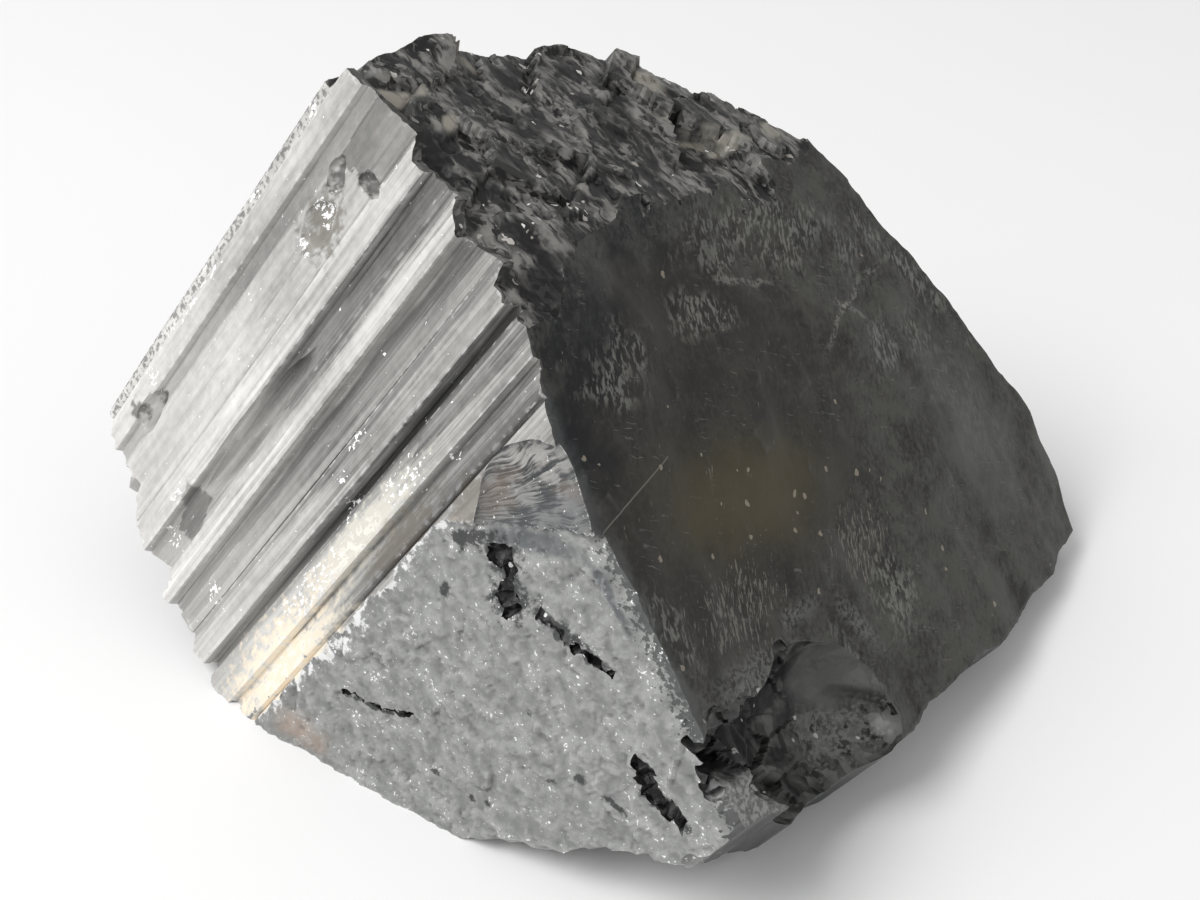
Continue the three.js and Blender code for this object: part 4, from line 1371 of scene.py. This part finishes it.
# %% Hollow finish
mark_spots(DARK, {
    "shell": [(-3.2, -2.2, 1.9, 3.4, 0.2)],
    "shell_edge": [(-2.0, 0.4, 0.5, 2.6, 0.5), (-1.2, -3.0, 0.45, 2.2, -0.1)],
    "rubble": [(-4.4, -5.0, 3.4, 2.2, -0.3)],
    "scoop_shade": [
        (-12.2, 0.6, 4.6, 1.5, -0.36), (-10.0, -1.5, 2.6, 1.6), (-16.4, 0.8, 1.4, 1.1),
        (-7.3, -0.2, 2.9, 1.6, -0.3),
    ],
    "scoop_chips": [(-9.5, -3.2, 3.4, 1.6, -0.2)],
})  # fmt: skip


def hollow_finish():
    tree, shader, place = open_finish("hollow", DARK, 0.35, 0.32)
    shaken = ragged(place, 0.8, 0.6)
    torn = pattern_of(streaks, place, 1.4, 1.4, 41.0)
    shards = pattern_of(blades, shaken, 0.6, 0.9, 42.0)
    tone = 0.4 * shards + 1.1 * torn
    colour = over(ramp(tone, 0.5, 1.1), (0.006, 0.006, 0.006), (0.12, 0.12, 0.115))
    crumbs = pattern_of(streaks, place, 0.28, 0.28, 44.0)
    grainy = ramp(crumbs, 0.42, 0.6)
    colour = over(spot("shell", torn, 0.8, 0.5), colour, (0.1, 0.102, 0.098), 0.8)
    edge = spot("shell_edge", crumbs, 2.0, 0.7) * grainy
    colour = over(edge, colour, (0.2, 0.203, 0.195), 0.6)
    rubble = spot("rubble", torn, 1.6, 0.7) * grainy
    colour = over(rubble, colour, (0.17, 0.175, 0.165), 0.8)
    granular = over(grainy, (0.13, 0.13, 0.128), (0.3, 0.3, 0.295))
    colour = over(spot("granular", torn, 0.8, 0.3), colour, granular, 0.85)
    # painted shade: the deepest parts of the scoop, the trench and the hole made nearly black
    colour = over(spot("scoop_shade", torn, 0.8, 0.4), colour, (0.004, 0.004, 0.005), 0.92)
    # pale rims, partly crushed and partly painted highlight
    rims_and_shade = use(tree, wear_and_shade, Edge=0.08, Hollow=0.09)
    colour = over(rims_and_shade["Rim"], colour, (0.2, 0.2, 0.195), 0.2)
    share = spot("scoop_chips", torn, 1.0, 0.5) * 0.35 + 0.03
    glint = pattern_of(flecks, shaken, 0.45, 0.6, 43.0, Share=share)
    colour = over(glint, colour, (0.5, 0.5, 0.48), 0.75)
    close_finish(shader, colour, 0.8 * torn + 0.3 * shards["Other"], 0.3, 0.6)


hollow_finish()

# %% Fibrous chip finish
FIBRE_PIVOT = {"X": 21.2, "Y": 11.0}
FIBRE_SPREAD = 13.0
mark_spots(FACE, {"brown_fibres": [(22.9, 16.0, 1.3, 2.6), (25.6, 20.4, 1.8, 0.7, 0.7)]})


def chip_finish():
    """Fibres fan out from a point below the chip, so they are drawn over angle and distance."""
    tree, shader, place = open_finish("chip", FACE, 0.4, 0.45)
    shaken = ragged(place, 1.6, 0.7)
    x, y = (axis_of(shaken, axis) - FIBRE_PIVOT[axis] for axis in "XY")
    around = maths("ARCTAN2", y, x) * FIBRE_SPREAD
    fan = put(tree, "ShaderNodeCombineXYZ", X=around, Y=length_of(x, y))
    fibres = pattern_of(blades, fan, 0.22, 2.0, 51.0)
    hairs = pattern_of(streaks, fan, 0.2, 1.2, 52.0)
    torn = pattern_of(streaks, place, 1.0, 1.0, 53.0)
    tone = 0.4 * fibres + 0.9 * hairs + 0.9 * torn
    colour = over(ramp(tone, 0.85, 1.25), (0.022, 0.022, 0.023), (0.4, 0.39, 0.37))
    colour = over(spot("brown_fibres", torn, 1.6, 0.8), colour, (0.26, 0.18, 0.12), 0.5)
    to_grain = out_of(place, GRAIN)
    # painted shade: the chip's low part next to the grey break, below its lip
    colour = over(ramp(to_grain, -0.7, 0.1), colour, (0.08, 0.088, 0.095), 0.7)
    # painted highlight: a pale line along the chip's lip
    lip_highlight = ramp(to_grain, -1.5, -1.0) * ramp(to_grain, -0.7, -1.0)
    colour = over(lip_highlight * ramp(hairs, 0.4, 0.55), colour, (0.6, 0.59, 0.57), 0.6)
    # pale fibre rims, partly painted highlight
    rims_and_shade = use(tree, wear_and_shade, Edge=0.06, Hollow=0.08)
    colour = over(rims_and_shade["Rim"] * ramp(hairs, 0.4, 0.6), colour, (0.75, 0.73, 0.7), 0.5)
    glint = ramp(pattern_of(streaks, place, 0.2, 0.3, 54.0), 0.68, 0.73)
    colour = over(glint, colour, (0.9, 0.88, 0.85), 0.8)
    close_finish(shader, colour, tone, 0.22, 0.6)


chip_finish()


# %% Crack and foot finishes
def crack_finish():
    tree, shader, place = open_finish("pit", GRAIN, 0.5, 0.4)
    crumbs = use(tree, grit, Place=place, Size=0.3, Seed=61.0)
    colour = over(ramp(crumbs["Value"], 0.45, 0.7), (0.006, 0.006, 0.006), (0.08, 0.08, 0.08))
    glint = pattern_of(flecks, place, 0.4, 0.4, 62.0, Share=0.06)
    close_finish(shader, over(glint, colour, (0.8, 0.8, 0.8)), crumbs["Height"], 0.2, 0.6)


def foot_finish():
    tree, shader, place = open_finish("foot", FOOT, 0.5, 0.4)
    crumbs = use(tree, grit, Place=place, Size=0.9, Seed=71.0)
    colour = over(ramp(crumbs["Value"], 0.4, 0.65), (0.012, 0.012, 0.012), (0.13, 0.13, 0.127))
    # pale rims, partly crushed and partly painted highlight
    rims_and_shade = use(tree, wear_and_shade, Edge=0.07, Hollow=0.09)
    colour = over(rims_and_shade["Rim"], colour, (0.24, 0.24, 0.23), 0.5)
    # painted sheen: a silvery band along the striated face's lower edge
    to_face = out_of(place, FACE)
    silvery = over(crumbs["Value"], (0.2, 0.198, 0.19), (0.62, 0.61, 0.59))
    colour = over(ramp(to_face, -2.0, -1.0), colour, silvery)
    close_finish(shader, colour, crumbs["Height"], 0.3, 0.6)


crack_finish()
foot_finish()
print("finishes:", sorted(m.name for m in stone.data.materials))

# %% [markdown]
# ## The stone in place of the CAD solid
# The mesh goes from millimetres in the stone's long frame to metres in the imported one, and
# then stands for the CAD solid. Its box is set beside the imported one, and printed.

# %% Place the stone and finish
stone.name = "tourmaline_stone"
stone.data.name = "tourmaline_stone"
stone.data.transform(Matrix.Scale(MM, 4) @ Matrix.Translation(-BOX_MIDDLE))
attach(stone, "root")
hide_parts("tourmaline_crystal")

SIZE = {"cad": [list(c) for c in CAD_BOX], "visual": [list(c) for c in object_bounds()]}
box = [[round(c / MM, 2) for c in corner] for corner in SIZE["visual"]]
print("faces:", len(stone.data.polygons), "box, mm:", box)
